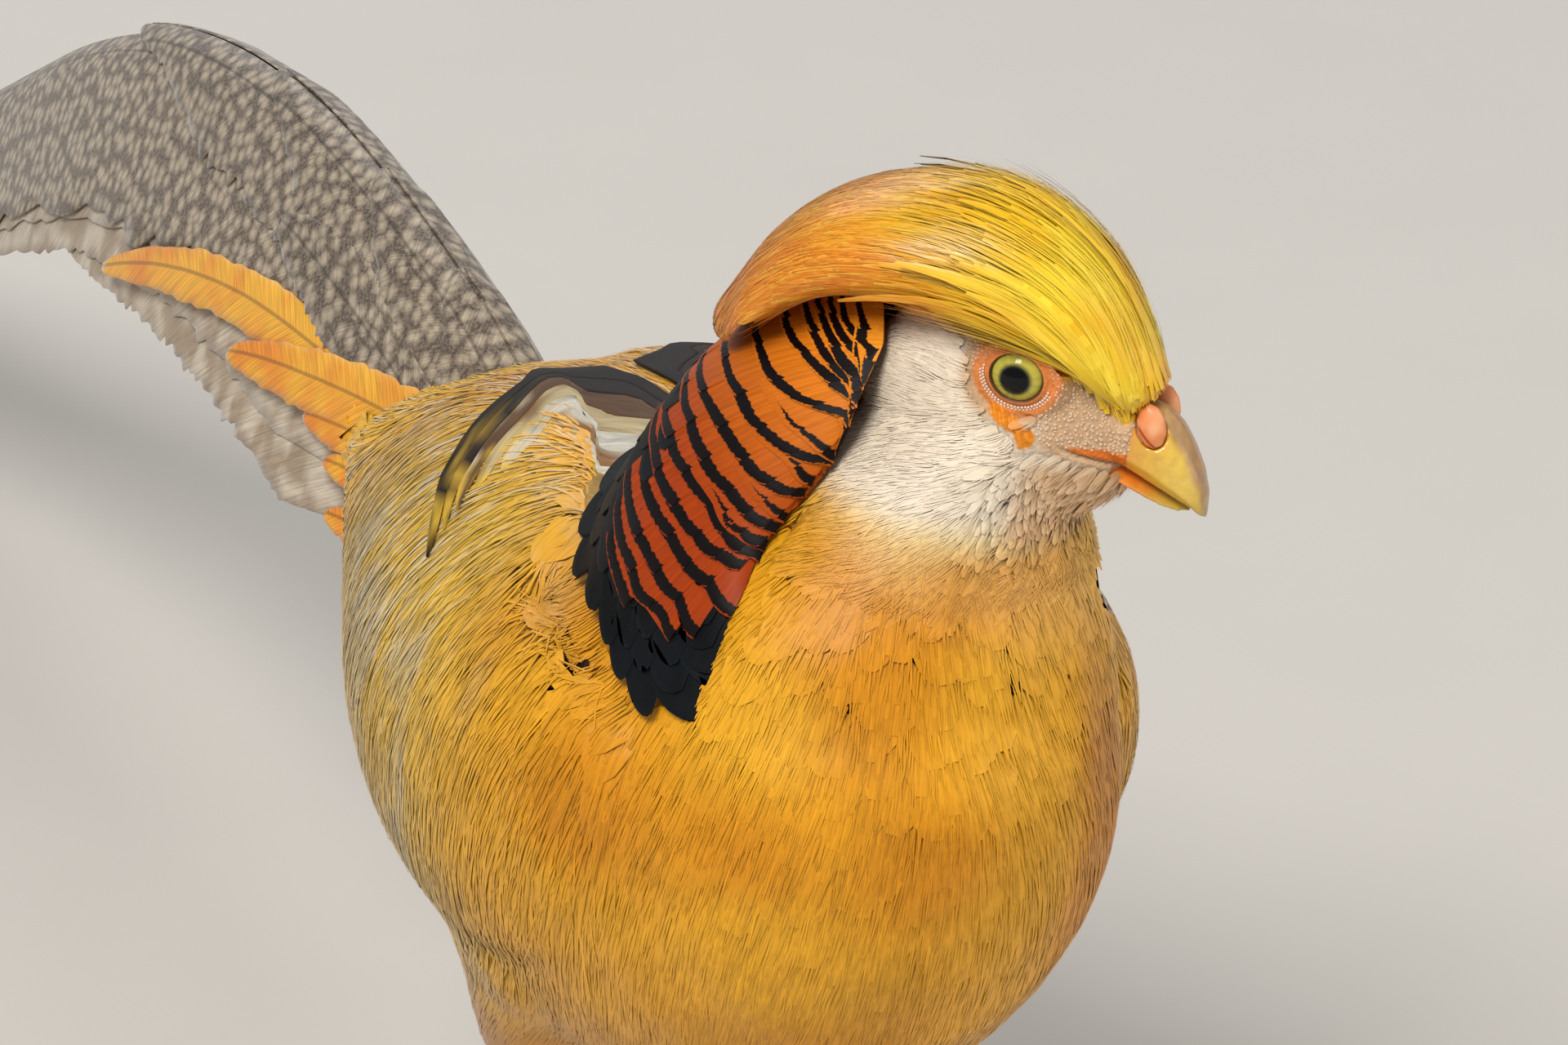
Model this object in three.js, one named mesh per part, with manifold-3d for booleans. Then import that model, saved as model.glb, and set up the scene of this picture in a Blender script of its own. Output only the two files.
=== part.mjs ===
// A life-size golden pheasant cock of the yellow form, standing, with its head turned to its left.
// The bird faces -Y, its left side is +X and +Z is up. The group's origin is on the floor, under the
// middle of the bird's own box. All sizes are millimetres.
import * as THREE from "three";
import { mergeVertices } from "three/addons/utils/BufferGeometryUtils.js";
import Module from "manifold-3d";

// Driving sizes
const GAP = 0.3; // clearance between pieces that touch
const SLACK = 0.12; // how far a cut edge may be straightened
const BODY_HEIGHT = 176; // middle of the trunk above the floor
const BODY_BACK = 8; // middle of the trunk behind the base of the neck
const BODY_PITCH = THREE.MathUtils.degToRad(10); // the breast is carried higher than the rump
const HEAD_PLACE = new THREE.Vector3(30, -69, 281); // the head's own origin, just below the eyes
const HEAD_TURN = THREE.MathUtils.degToRad(48); // to the bird's left
const HEAD_DIP = THREE.MathUtils.degToRad(10); // bill lowered
const EYE_RADIUS = 7;
const EYE_SPREAD = 7.4; // eye's centre from the middle of the head
const EYE_AHEAD = 1; // eye's centre ahead of the head's own origin
const EYE_UP = 1.8; // and above it
const LEG_SPREAD = 31; // each leg from the middle plane
const FOOT_BACK = 12; // middle of the foot behind the middle of the trunk
const FEATHER = 0.8; // thickness of one tail or wing blade

const { clamp, degToRad, lerp } = THREE.MathUtils;
const vec = (x, y, z) => new THREE.Vector3(x, y, z);
const wasm = await Module();
wasm.setup();

// Curves and skins

// A smooth table: each row starts with its key, and the returned function gives the other columns.
function table(rows) {
  const slope = (i, c) => {
    const a = rows[Math.max(i - 1, 0)];
    const b = rows[Math.min(i + 1, rows.length - 1)];
    return (b[c] - a[c]) / (b[0] - a[0]);
  };
  return (key) => {
    const k = clamp(key, rows[0][0], rows.at(-1)[0]);
    const i = Math.min(rows.findLastIndex((r) => r[0] <= k), rows.length - 2);
    const step = rows[i + 1][0] - rows[i][0];
    const t = (k - rows[i][0]) / step;
    return rows[i].slice(1).map((from, j) => {
      const to = rows[i + 1][j + 1];
      const fromSlope = slope(i, j + 1) * step;
      const toSlope = slope(i + 1, j + 1) * step;
      const bend = fromSlope * (1 - t) - toSlope * t + (to - from) * (2 * t - 1);
      return from + (to - from) * t + t * (1 - t) * bend;
    });
  };
}

// A closed surface through rings of points, capped by one point at each end.
function skin(first, rings, last) {
  const sides = rings[0].length;
  const points = [first, ...rings.flat(), last];
  const index = [];
  const end = points.length - 1;
  const at = (ring, side) => 1 + ring * sides + (side % sides);
  for (let s = 0; s < sides; s++) {
    index.push(0, at(0, s + 1), at(0, s));
    index.push(end, at(rings.length - 1, s), at(rings.length - 1, s + 1));
    for (let r = 0; r + 1 < rings.length; r++) {
      index.push(at(r, s), at(r, s + 1), at(r + 1, s + 1));
      index.push(at(r, s), at(r + 1, s + 1), at(r + 1, s));
    }
  }
  return outward(points, index);
}

// A closed slab between an outer and an inner sheet, both functions of u and v from 0 to 1.
function slab(outer, inner, across, along) {
  const points = [];
  const index = [];
  for (const sheet of [outer, inner])
    for (let j = 0; j <= along; j++)
      for (let i = 0; i <= across; i++) points.push(sheet(i / across, j / along));
  const inside = points.length / 2;
  const at = (i, j) => j * (across + 1) + i;
  const quad = (a, b, c, d) => index.push(a, b, c, a, c, d);
  for (let j = 0; j < along; j++)
    for (let i = 0; i < across; i++) {
      quad(at(i, j), at(i + 1, j), at(i + 1, j + 1), at(i, j + 1));
      quad(inside + at(i, j), inside + at(i, j + 1), inside + at(i + 1, j + 1), inside + at(i + 1, j));
    }
  const rim = [];
  for (let i = 0; i < across; i++) rim.push(at(i, 0));
  for (let j = 0; j < along; j++) rim.push(at(across, j));
  for (let i = across; i > 0; i--) rim.push(at(i, along));
  for (let j = along; j > 0; j--) rim.push(at(0, j));
  rim.forEach((a, k) => {
    const b = rim[(k + 1) % rim.length];
    quad(b, a, inside + a, inside + b);
  });
  return outward(points, index);
}

// An indexed geometry whose faces point out.
function outward(points, index) {
  let volume = 0;
  for (let i = 0; i < index.length; i += 3) {
    const [a, b, c] = [points[index[i]], points[index[i + 1]], points[index[i + 2]]];
    volume += a.dot(b.clone().cross(c));
  }
  if (volume < 0) index.reverse();
  return new THREE.BufferGeometry().setFromPoints(points).setIndex(index);
}

// One ring of a rounded section. squareness 2 is an ellipse, and more is boxier.
function ring(centre, side, up, [half, above, below], sides, squareness = 2) {
  const soft = (v) => Math.sign(v) * Math.abs(v) ** (2 / squareness);
  return Array.from({ length: sides }, (_, i) => {
    const a = (2 * Math.PI * (i + 0.5)) / sides;
    const rise = soft(Math.sin(a));
    return centre
      .clone()
      .addScaledVector(side, half * soft(Math.cos(a)))
      .addScaledVector(up, rise * (rise > 0 ? above : below));
  });
}

// A round limb along a curve, with its half width and half height as functions of t.
function limb(curve, half, depth, steps, sides, floor = -Infinity) {
  const rings = [];
  for (let i = 0; i <= steps; i++) {
    const t = i / steps;
    const along = curve.getTangent(t);
    const side = vec(0, 0, 1).cross(along);
    if (side.length() < 0.05) side.set(1, 0, 0);
    side.normalize();
    const up = along.clone().cross(side).normalize();
    rings.push(ring(curve.getPoint(t), side, up, [half(t), depth(t), depth(t)], sides));
  }
  const level = (p) => p.setZ(Math.max(p.z, floor));
  rings.flat().forEach(level);
  const middle = (r) => r.reduce((sum, p) => sum.add(p), vec(0, 0, 0)).divideScalar(r.length);
  return skin(level(middle(rings[0])), rings, level(middle(rings.at(-1))));
}

// Scene graph and solids

const bird = new THREE.Group();
const body = new THREE.Group();
body.position.set(0, BODY_BACK, BODY_HEIGHT);
body.rotation.x = -BODY_PITCH;
const head = new THREE.Group(); // its own +X runs to the bill and +Y to the bird's left
head.position.copy(HEAD_PLACE);
head.rotation.set(0, HEAD_DIP, HEAD_TURN - Math.PI / 2, "ZYX");
bird.add(body, head);
bird.updateMatrixWorld(true);

const materials = {
  gold: [0xe8a414, 0.6],
  cream: [0xe6d6bc, 0.75],
  crest: [0xf6b414, 0.45],
  cape: [0xd9601a, 0.55],
  slate: [0x14171a, 0.5],
  wing: [0xb89c54, 0.65],
  flight: [0x6d5743, 0.65],
  marbled: [0x8b8074, 0.7],
  buff: [0xa48c74, 0.7],
  covert: [0xe59a1c, 0.55],
  bill: [0xb9ae4c, 0.3],
  flap: [0xe88a50, 0.45],
  eye: [0xb7b35c, 0.1],
  scale: [0xb09a52, 0.5],
  claw: [0x6d5a3a, 0.4],
};

// Adds one named mesh to a group, in one of the materials above.
function add(group, name, geometry, material) {
  const [color, roughness] = materials[material];
  const mesh = new THREE.Mesh(
    geometry,
    new THREE.MeshStandardMaterial({ color, roughness, metalness: 0 }),
  );
  mesh.name = name;
  group.add(mesh);
  mesh.updateWorldMatrix(true, false);
  return mesh;
}

// A copy of the geometry with nothing but shared vertices and faces.
function bare(geometry) {
  const copy = geometry.clone();
  copy.deleteAttribute("uv");
  copy.deleteAttribute("normal");
  return mergeVertices(copy, 1e-4);
}

// The mesh as a solid in the bird's frame, grown by a clearance.
function solidOf(mesh, grow = 0) {
  const merged = bare(mesh.geometry).applyMatrix4(mesh.matrixWorld);
  const vertProperties = grow ? grown(merged, grow) : merged.attributes.position.array.slice();
  const triVerts = new Uint32Array(merged.index.array);
  return new wasm.Manifold(new wasm.Mesh({ numProp: 3, vertProperties, triVerts }));
}

// The vertices moved so that every face shifts outward by the same amount, sharp rims included.
function grown(geometry, amount) {
  const { position } = geometry.attributes;
  const index = geometry.index.array;
  const corner = (i) => vec(0, 0, 0).fromBufferAttribute(position, index[i]);
  const sums = Array.from({ length: position.count }, () => ({ nn: new Array(9).fill(0), n: vec(0, 0, 0) }));
  for (let i = 0; i < index.length; i += 3) {
    const normal = new THREE.Triangle(corner(i), corner(i + 1), corner(i + 2)).getNormal(vec(0, 0, 0));
    const axes = normal.toArray();
    for (const vertex of index.slice(i, i + 3)) {
      axes.forEach((a, r) => axes.forEach((b, c) => (sums[vertex].nn[3 * r + c] += a * b)));
      sums[vertex].n.add(normal);
    }
  }
  return Float32Array.from(
    sums.flatMap(({ nn, n }, i) => {
      const matrix = new THREE.Matrix3().set(...nn.map((v, k) => v + (k % 4 ? 0 : 0.05)));
      const shift = n.clone().applyMatrix3(matrix.invert()).multiplyScalar(amount);
      return vec(0, 0, 0).fromBufferAttribute(position, i).add(shift.clampLength(0, 3 * amount)).toArray();
    }),
  );
}

// Cuts each tool, grown by the gap, out of the mesh and keeps the largest body that is left.
function carve(mesh, tools, gap = GAP) {
  const near = tools.filter((tool) => boxOf(tool).intersectsBox(boxOf(mesh)));
  const without = (solid, tool) => solid.subtract(solidOf(tool, gap));
  replace(mesh, near.reduce(without, solidOf(mesh)).simplify(SLACK));
}

// Joins two pieces and parts them again with one thin cut, the first on the side the normal points to.
function part(first, second, point, normal) {
  const whole = solidOf(first).add(solidOf(second));
  const way = normal.clone().normalize();
  const place = way.dot(point);
  replace(first, whole.trimByPlane(way.toArray(), place + GAP / 2));
  replace(second, whole.trimByPlane(way.clone().negate().toArray(), GAP / 2 - place));
}

function boxOf(mesh) {
  return new THREE.Box3().setFromObject(mesh, true);
}

function replace(mesh, solid) {
  const largest = solid.decompose().sort((a, b) => b.volume() - a.volume())[0];
  const { vertProperties, triVerts, numProp, numVert } = largest.getMesh();
  const place = new Float32Array(numVert * 3);
  for (let i = 0; i < numVert; i++)
    place.set(vertProperties.subarray(i * numProp, i * numProp + 3), i * 3);
  mesh.geometry = new THREE.BufferGeometry()
    .setAttribute("position", new THREE.BufferAttribute(place, 3))
    .setIndex(new THREE.BufferAttribute(triVerts, 1))
    .applyMatrix4(mesh.matrixWorld.clone().invert());
}

const bothSides = [
  ["right", -1],
  ["left", 1],
];

// Trunk: breast, back, belly and rump. Rows are place along the body, then the middle's height, half
// width, height above the middle and depth below it.
const trunkRows = table([
  [-117, 8, 3, 3, 3],
  [-112, 8, 18, 17, 18],
  [-101, 7, 35, 34, 37],
  [-80, 4, 51, 49, 56],
  [-48, 1, 61, 60, 69],
  [-8, -1, 65, 64, 75],
  [35, 1, 61, 62, 73],
  [75, 5, 47, 50, 62],
  [110, 13, 34, 33, 43],
  [138, 19, 23, 22, 25],
  [154, 21, 14, 12, 12],
]);
const TRUNK_FRONT = -117;
const TRUNK_REAR = 154;
const TRUNK_SIDES = 24;

// A point of the trunk's surface in the body's frame. The turn runs from the back's ridge, down the
// bird's left if positive and its right if negative.
function onTrunk(along, turn, lift = 0) {
  const place = (y, a) => {
    const [middle, half, above, below] = trunkRows(y);
    const up = Math.cos(a);
    return vec(half * Math.sin(a), y, middle + up * (up > 0 ? above : below));
  };
  const p = place(along, turn);
  if (!lift) return p;
  const down = place(along + 1, turn).sub(place(along - 1, turn));
  const round = place(along, turn + 0.02).sub(place(along, turn - 0.02));
  return p.addScaledVector(round.cross(down).normalize(), lift);
}

function trunkGeometry() {
  const stations = [];
  for (let y = TRUNK_FRONT + 2; y < TRUNK_FRONT + 20; y += 7) stations.push(y);
  for (let y = TRUNK_FRONT + 30; y < TRUNK_REAR; y += 22) stations.push(y);
  const rings = stations.map((y) => {
    const [middle, half, above, below] = trunkRows(y);
    return ring(vec(0, y, middle), vec(1, 0, 0), vec(0, 0, 1), [half, above, below], TRUNK_SIDES);
  });
  return skin(vec(0, TRUNK_FRONT, 8), rings, vec(0, TRUNK_REAR + 4, 21));
}
const trunk = add(body, "trunk", trunkGeometry(), "gold");

// Neck: short and full, leaning to the bird's left towards the turned head.
function neckGeometry() {
  const axis = new THREE.CatmullRomCurve3([
    vec(0, -44, 206),
    vec(5, -49, 228),
    vec(11, -54, 246),
    vec(18, -58, 262),
    vec(22, -60, 272),
  ]);
  const girth = table([
    [0, 55, 58],
    [0.35, 45, 42],
    [0.6, 31.5, 29],
    [0.8, 24, 24],
    [1, 15, 17],
  ]);
  const turned = degToRad(24);
  const side = vec(Math.cos(turned), Math.sin(turned), 0);
  const front = vec(-side.y, side.x, 0);
  const rings = [];
  for (let t = 0; t <= 1.001; t += 1 / 6) {
    const [half, deep] = girth(t);
    rings.push(ring(axis.getPoint(Math.min(t, 1)), side, front, [half, deep, deep], 16));
  }
  return skin(axis.getPoint(0), rings, axis.getPoint(1));
}
const neck = add(bird, "neck", neckGeometry(), "gold");

// Head: face, cheeks and throat, in the head's own frame. Rows are place along the head, then the
// middle's height, half width, height above the middle and depth below it.
const headRows = table([
  [-31, -10, 3, 3, 3],
  [-29, -10, 8, 8, 9],
  [-22, -11, 13, 17, 19],
  [-10, -12, 15.3, 23, 22],
  [0, -12, 14.6, 24, 21.5],
  [9, -12, 12.6, 22, 20],
  [16, -12, 10, 16, 15.5],
  [21, -13, 7.6, 9.5, 10.5],
  [24.5, -14, 4.5, 4, 6],
]);

function headGeometry() {
  const rings = [];
  for (let x = -30; x <= 24.01; x += 6) {
    const [middle, half, above, below] = headRows(x);
    rings.push(ring(vec(x, 0, middle), vec(0, -1, 0), vec(0, 0, 1), [half, above, below], 16, 2.15));
  }
  return skin(vec(-31.5, 0, -10), rings, vec(25.5, 0, -14));
}
const face = add(head, "head", headGeometry(), "cream");

// Crest: silky plumes swept back from the forehead over the crown and down behind the nape. Rows are
// place along the head, then half width, top, and the height of the lower edge.
const crestRows = table([
  [-61, 3, -8, -13],
  [-58, 9, 1, -16],
  [-53, 13.5, 10.5, -11],
  [-46, 16.5, 19, -1],
  [-36, 18.5, 26, 6.5],
  [-22, 18.8, 31, 8],
  [-6, 17.5, 31.5, 6.5],
  [8, 15, 25.5, 5.5],
  [17, 11.5, 17.5, 1],
  [23, 8, 9, -3],
  [27.5, 3, 1.5, -2],
]);

function crestGeometry() {
  const rings = [];
  for (let x = -60; x <= 27.01; x += 5.8) {
    const [half, top, edge] = crestRows(x);
    const middle = lerp(edge, top, 0.32);
    const size = [half, top - middle, middle - edge];
    rings.push(ring(vec(x, 0, middle), vec(0, -1, 0), vec(0, 0, 1), size, 16, 2.1));
  }
  return skin(vec(-62.5, 0, -10.5), rings, vec(28.5, 0, -0.5));
}
const crest = add(head, "crest", crestGeometry(), "crest");

// Eyes
const eyes = bothSides.map(([word, way]) => {
  const ball = new THREE.SphereGeometry(EYE_RADIUS, 10, 7);
  ball.rotateX(Math.PI / 2);
  const mesh = add(head, "eye_" + word, ball, "eye");
  mesh.position.set(EYE_AHEAD, way * EYE_SPREAD, EYE_UP);
  mesh.updateWorldMatrix(true, false);
  return mesh;
});

// Bill: each half is lofted between an upper and a lower edge that both run from the gape to the tip.
function billGeometry(upper, lower, half, steps) {
  const top = new THREE.CatmullRomCurve3(upper.map(([x, z]) => vec(x, 0, z)));
  const bottom = new THREE.CatmullRomCurve3(lower.map(([x, z]) => vec(x, 0, z)));
  const rings = [];
  for (let i = 0; i < steps; i++) {
    const t = i / steps;
    const [a, b] = [top.getPoint(t), bottom.getPoint(t)];
    const middle = a.clone().lerp(b, 0.62);
    const up = a.clone().sub(b);
    const tall = up.length();
    const size = [half(t), tall * 0.62, tall * 0.38];
    rings.push(ring(middle, vec(0, -1, 0), up.normalize(), size, 10, 2.2));
  }
  const start = rings[0].reduce((s, p) => s.add(p), vec(0, 0, 0)).divideScalar(10);
  return skin(start, rings, top.getPoint(1).lerp(bottom.getPoint(1), 0.5));
}
const upperBill = add(
  head,
  "bill_upper",
  billGeometry(
    [[10, -1], [21, 0], [28.8, -1.6], [33.8, -6.8], [38, -14], [40.2, -21.5]],
    [[10, -13.4], [20, -14.5], [28.5, -17.3], [34, -19.2], [37.6, -20.4], [39.6, -22.8]],
    (t) => lerp(7.2, 6.2, t) * Math.sqrt(1 - t ** 2.4),
    8,
  ),
  "bill",
);
const lowerBill = add(
  head,
  "bill_lower",
  billGeometry(
    [[10, -14.2], [20, -15.3], [28.5, -18.1], [33, -19.7], [37, -21.2]],
    [[10, -16.6], [20, -17.5], [28, -19.8], [33, -21.2], [37, -21.6]],
    (t) => lerp(6, 4.4, t) * Math.sqrt(1 - t ** 2.6),
    6,
  ),
  "bill",
);
const flaps = bothSides.map(([word, way]) => {
  const oval = new THREE.SphereGeometry(1, 10, 7).scale(4.8, 2, 3);
  const mesh = add(head, "nostril_flap_" + word, oval, "flap");
  mesh.rotation.set(0, degToRad(72), 0);
  mesh.position.set(26.7, way * 4.9, -4);
  mesh.updateWorldMatrix(true, false);
  return mesh;
});

// Cape: a cowl of broad feathers from the back of the head over the neck to the shoulders. The sweep
// runs from the bird's right front edge, over the nape, to its left front edge.
const CAPE_SWEEP = degToRad(132);
const CAPE_THICK = 3.2;

// Where the cape leaves the head, in the bird's frame.
function collar(sweep) {
  const share = Math.abs(sweep) / CAPE_SWEEP;
  const [back] = table([[0, -30], [0.35, -24], [0.6, -21.5], [1, -27]])(share);
  const p = vec(back, 18.5 * Math.sin(sweep), -16 + 20 * Math.cos(sweep));
  return p.applyMatrix4(head.matrixWorld);
}

// Where the cape's hem lies on the trunk, reach millimetres further out than the hem itself.
function hem(sweep, reach, lift) {
  const back = Math.cos(sweep * 1.06);
  const round = Math.tanh(Math.abs(sweep) / degToRad(55));
  const tucked = 1 - 0.14 * (sweep / CAPE_SWEEP) ** 4;
  const turn = degToRad(51) * round * tucked + (reach / 70) * (1 - Math.max(back, 0)) * round;
  const along = -58 + 36 * back + reach * Math.max(back, 0.2 * back);
  const p = onTrunk(along, Math.sign(sweep) * turn, lift);
  return p.applyMatrix4(body.matrixWorld);
}

function capeSurface(sweep, v) {
  const from = collar(sweep);
  const to = hem(sweep, 0, 4.2);
  const centre = vec(9, -52, 246);
  const bulge = from.clone().lerp(to, 0.42);
  const out = bulge.clone().sub(centre).normalize();
  bulge.addScaledVector(out, lerp(15, 11, Math.abs(sweep) / CAPE_SWEEP));
  return new THREE.QuadraticBezierCurve3(from, bulge, to).getPoint(v);
}

function capeGeometry() {
  const outer = (u, v) => capeSurface(lerp(-CAPE_SWEEP, CAPE_SWEEP, u), v);
  const inner = (u, v) => {
    const p = outer(u, v);
    const across = outer(u + 0.01, v).sub(outer(u - 0.01, v));
    const along = outer(u, v + 0.01).sub(outer(u, v - 0.01));
    const away = across.cross(along).normalize();
    if (away.dot(p.clone().sub(vec(9, -52, 240))) < 0) away.negate();
    const edge = Math.min(u, 1 - u) * 12;
    return p.addScaledVector(away, -CAPE_THICK * Math.min(1, 0.35 + edge));
  };
  return slab(outer, inner, 16, 4);
}
const cape = add(bird, "cape", capeGeometry(), "cape");

// Mantle: the dark feathers of the upper back that show past the hem of the cape.
function mantleGeometry() {
  const outer = (u, v) => hem(lerp(-CAPE_SWEEP, CAPE_SWEEP, u), lerp(-5, 20, v), 3);
  const inner = (u, v) => hem(lerp(-CAPE_SWEEP, CAPE_SWEEP, u), lerp(-5, 20, v), 1.4);
  return slab(outer, inner, 16, 2);
}
const mantle = add(bird, "mantle", mantleGeometry(), "slate");

// Wings: folded against the trunk. s runs from the wrist to the tip and h from the upper edge to the
// lower one. Rows are s, then the turn of the upper edge, of the line under the tertials and of the
// lower edge, all from the back's ridge.
const wingRows = table([
  [0, 64, 66, 84],
  [0.04, 54, 62, 98],
  [0.15, 34, 52, 112],
  [0.4, 15, 44, 112],
  [0.65, 14, 44, 98],
  [0.85, 34, 52, 80],
  [1, 56, 58, 62],
]);
const WING_FRONT = -74;
const WING_SPAN = 214;
const WING_SWELL = 5;
const WING_LIFT = 2.2;
const COVERTS_END = 0.56;
const SEAM = GAP / WING_SPAN;

// One piece of a wing, from s = from to s = to, between two of the columns above.
function wingPiece(way, from, to, upper, lower, across, along) {
  const at = (u, v, inner) => {
    const s = lerp(from, to, v);
    const row = wingRows(s);
    const turn = degToRad(lerp(row[upper], row[lower], u) + (upper > 0 && u === 0 ? 0.35 : 0));
    const h = (turn - degToRad(row[0])) / degToRad(row[2] - row[0]);
    const round = Math.sin(Math.PI * clamp(h, 0.02, 0.98)) ** 0.6;
    const run = Math.min(1, (s + 0.01) * 9) ** 0.5 * lerp(1, 0.3, s);
    return onTrunk(WING_FRONT + WING_SPAN * s, way * turn, inner ? 1.4 : WING_LIFT + WING_SWELL * round * run);
  };
  return slab(
    (u, v) => at(u, v, false),
    (u, v) => at(u, v, true),
    across,
    along,
  );
}

const wings = bothSides.flatMap(([word, way]) => [
  add(body, `wing_${word}_tertials`, wingPiece(way, 0.2, 0.9, 0, 1, 3, 9), "flight"),
  add(body, `wing_${word}_coverts`, wingPiece(way, 0, COVERTS_END, 1, 2, 5, 7), "wing"),
  add(body, `wing_${word}_primaries`, wingPiece(way, COVERTS_END + 2 * SEAM, 1, 1, 2, 5, 5), "wing"),
]);

// Tail: long feathers laid as a steep roof along one arched ridge.
const ridge = new THREE.CatmullRomCurve3(
  [
    [96, 196], [130, 208], [170, 216], [220, 220], [268, 215], [318, 201], [371, 177],
    [429, 143], [520, 97], [620, 55], [735, 24],
  ].map(([y, z]) => vec(0, y, z)),
);
const RIDGE_LENGTH = ridge.getLength();
const STATION = 40; // the blades share their places along the ridge, and so never cross
const CREASE = 6; // width of the flatter strip beside the ridge
const CREASE_SLOPE = degToRad(20);
const ROOF_SLOPE = degToRad(62);
const LAYER = (FEATHER + GAP) / Math.cos(ROOF_SLOPE); // from one blade down to the next

// A point of the roof: run along the ridge, slant down its side, and depth straight under it.
function onRoof(way, run, slant, depth) {
  const t = clamp(run / RIDGE_LENGTH, 0, 1);
  const up = vec(1, 0, 0).cross(ridge.getTangentAt(t)).normalize();
  const near = Math.min(slant, CREASE);
  const far = slant - near;
  const outwards = near * Math.cos(CREASE_SLOPE) + far * Math.cos(ROOF_SLOPE);
  const downwards = near * Math.sin(CREASE_SLOPE) + far * Math.sin(ROOF_SLOPE);
  return ridge.getPointAt(t).addScaledVector(up, -downwards - depth).add(vec(way * outwards, 0, 0));
}

// One blade, from its root to its tip. Slants are given as [inner, outer] edges, and a blade that
// starts at the ridge is bent at the crease. layer counts down from the central pair.
function blade(way, { first, last, slants: [inner, outer], layer, splay = 0 }) {
  const steps = last - first;
  const bent = inner < CREASE;
  const across = bent ? 3 : 2;
  const at = (u, v, thick) => {
    const width = Math.sqrt(1 - 0.985 * v ** 1.7) * Math.min(1, 0.6 + 3 * v);
    const half = 0.5 * (outer - inner) * width;
    const middle = 0.5 * (outer + inner) + splay * v ** 1.5;
    const far = bent ? Math.max(inner + 2 * half, CREASE + 2) : middle + half;
    const near = bent ? inner : middle - half;
    const column = Math.round(u * across);
    const slant = bent && column > 0 ? lerp(CREASE, far, (column - 1) / 2) : lerp(near, far, u);
    return onRoof(way, STATION * (first + steps * v), slant, layer * LAYER + thick);
  };
  const under = FEATHER / Math.cos(ROOF_SLOPE);
  return slab((u, v) => at(u, v, 0), (u, v) => at(u, v, under), across, steps);
}

// Name, stations of root and tip, slants, layer and splay of each blade.
const blades = [
  ["central", 0, 17, [0.25, 38], 0, 0, "marbled"],
  ["side_1", 1, 13, [12, 46], 1, 0, "buff"],
  ["side_2", 1, 9, [20, 54], 2, 0, "buff"],
  ["side_3", 1, 6, [30, 61], 3, 0, "buff"],
  ["covert", 0, 6, [0.25, 28], -1, 0, "marbled"],
  ["plume_1", 1, 5, [31, 41], -2, 22, "covert"],
  ["plume_2", 1, 3, [43, 53], -2, 10, "covert"],
];
const tail = bothSides.flatMap(([word, way]) =>
  blades.map(([name, first, last, slants, layer, splay, material]) =>
    add(bird, `tail_${name}_${word}`, blade(way, { first, last, slants, layer, splay }), material),
  ),
);

// Legs: feathered thigh, scaled shank with a spur, and four toes with claws, flat on the floor.
const HEEL = (way) => vec(way * (LEG_SPREAD - 1), FOOT_BACK + 26, 84);
const ANKLE = (way) => vec(way * LEG_SPREAD, FOOT_BACK, 9);

const thighs = bothSides.map(([word, way]) => {
  const heel = HEEL(way);
  const axis = new THREE.CatmullRomCurve3([
    vec(way * 36, FOOT_BACK - 6, 146),
    vec(way * 35, FOOT_BACK + 4, 122),
    vec(way * 32, FOOT_BACK + 17, 100),
    heel.clone().add(vec(0, -1, 4)),
  ]);
  const [half, deep] = [(t) => lerp(25, 6.2, t ** 0.8), (t) => lerp(36, 7, t ** 0.75)];
  return add(bird, "thigh_" + word, limb(axis, half, deep, 5, 12), "gold");
});

const shanks = bothSides.map(([word, way]) => {
  const heel = HEEL(way);
  const ankle = ANKLE(way);
  const axis = new THREE.CatmullRomCurve3([
    heel.clone().add(vec(0, 1, 7)),
    heel,
    heel.clone().lerp(ankle, 0.5).add(vec(0, 1.5, 0)),
    ankle.clone().lerp(heel, 0.1),
    ankle.clone().add(vec(0, -2, -4)),
  ]);
  const size = table([[0, 4.6, 5.4], [0.14, 4.8, 6], [0.35, 3.4, 4.2], [0.75, 3.3, 4], [1, 5.4, 5]]);
  const shank = limb(axis, (t) => size(t)[0], (t) => size(t)[1], 6, 8, 0.6);
  return add(bird, "shank_" + word, shank, "scale");
});

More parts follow.
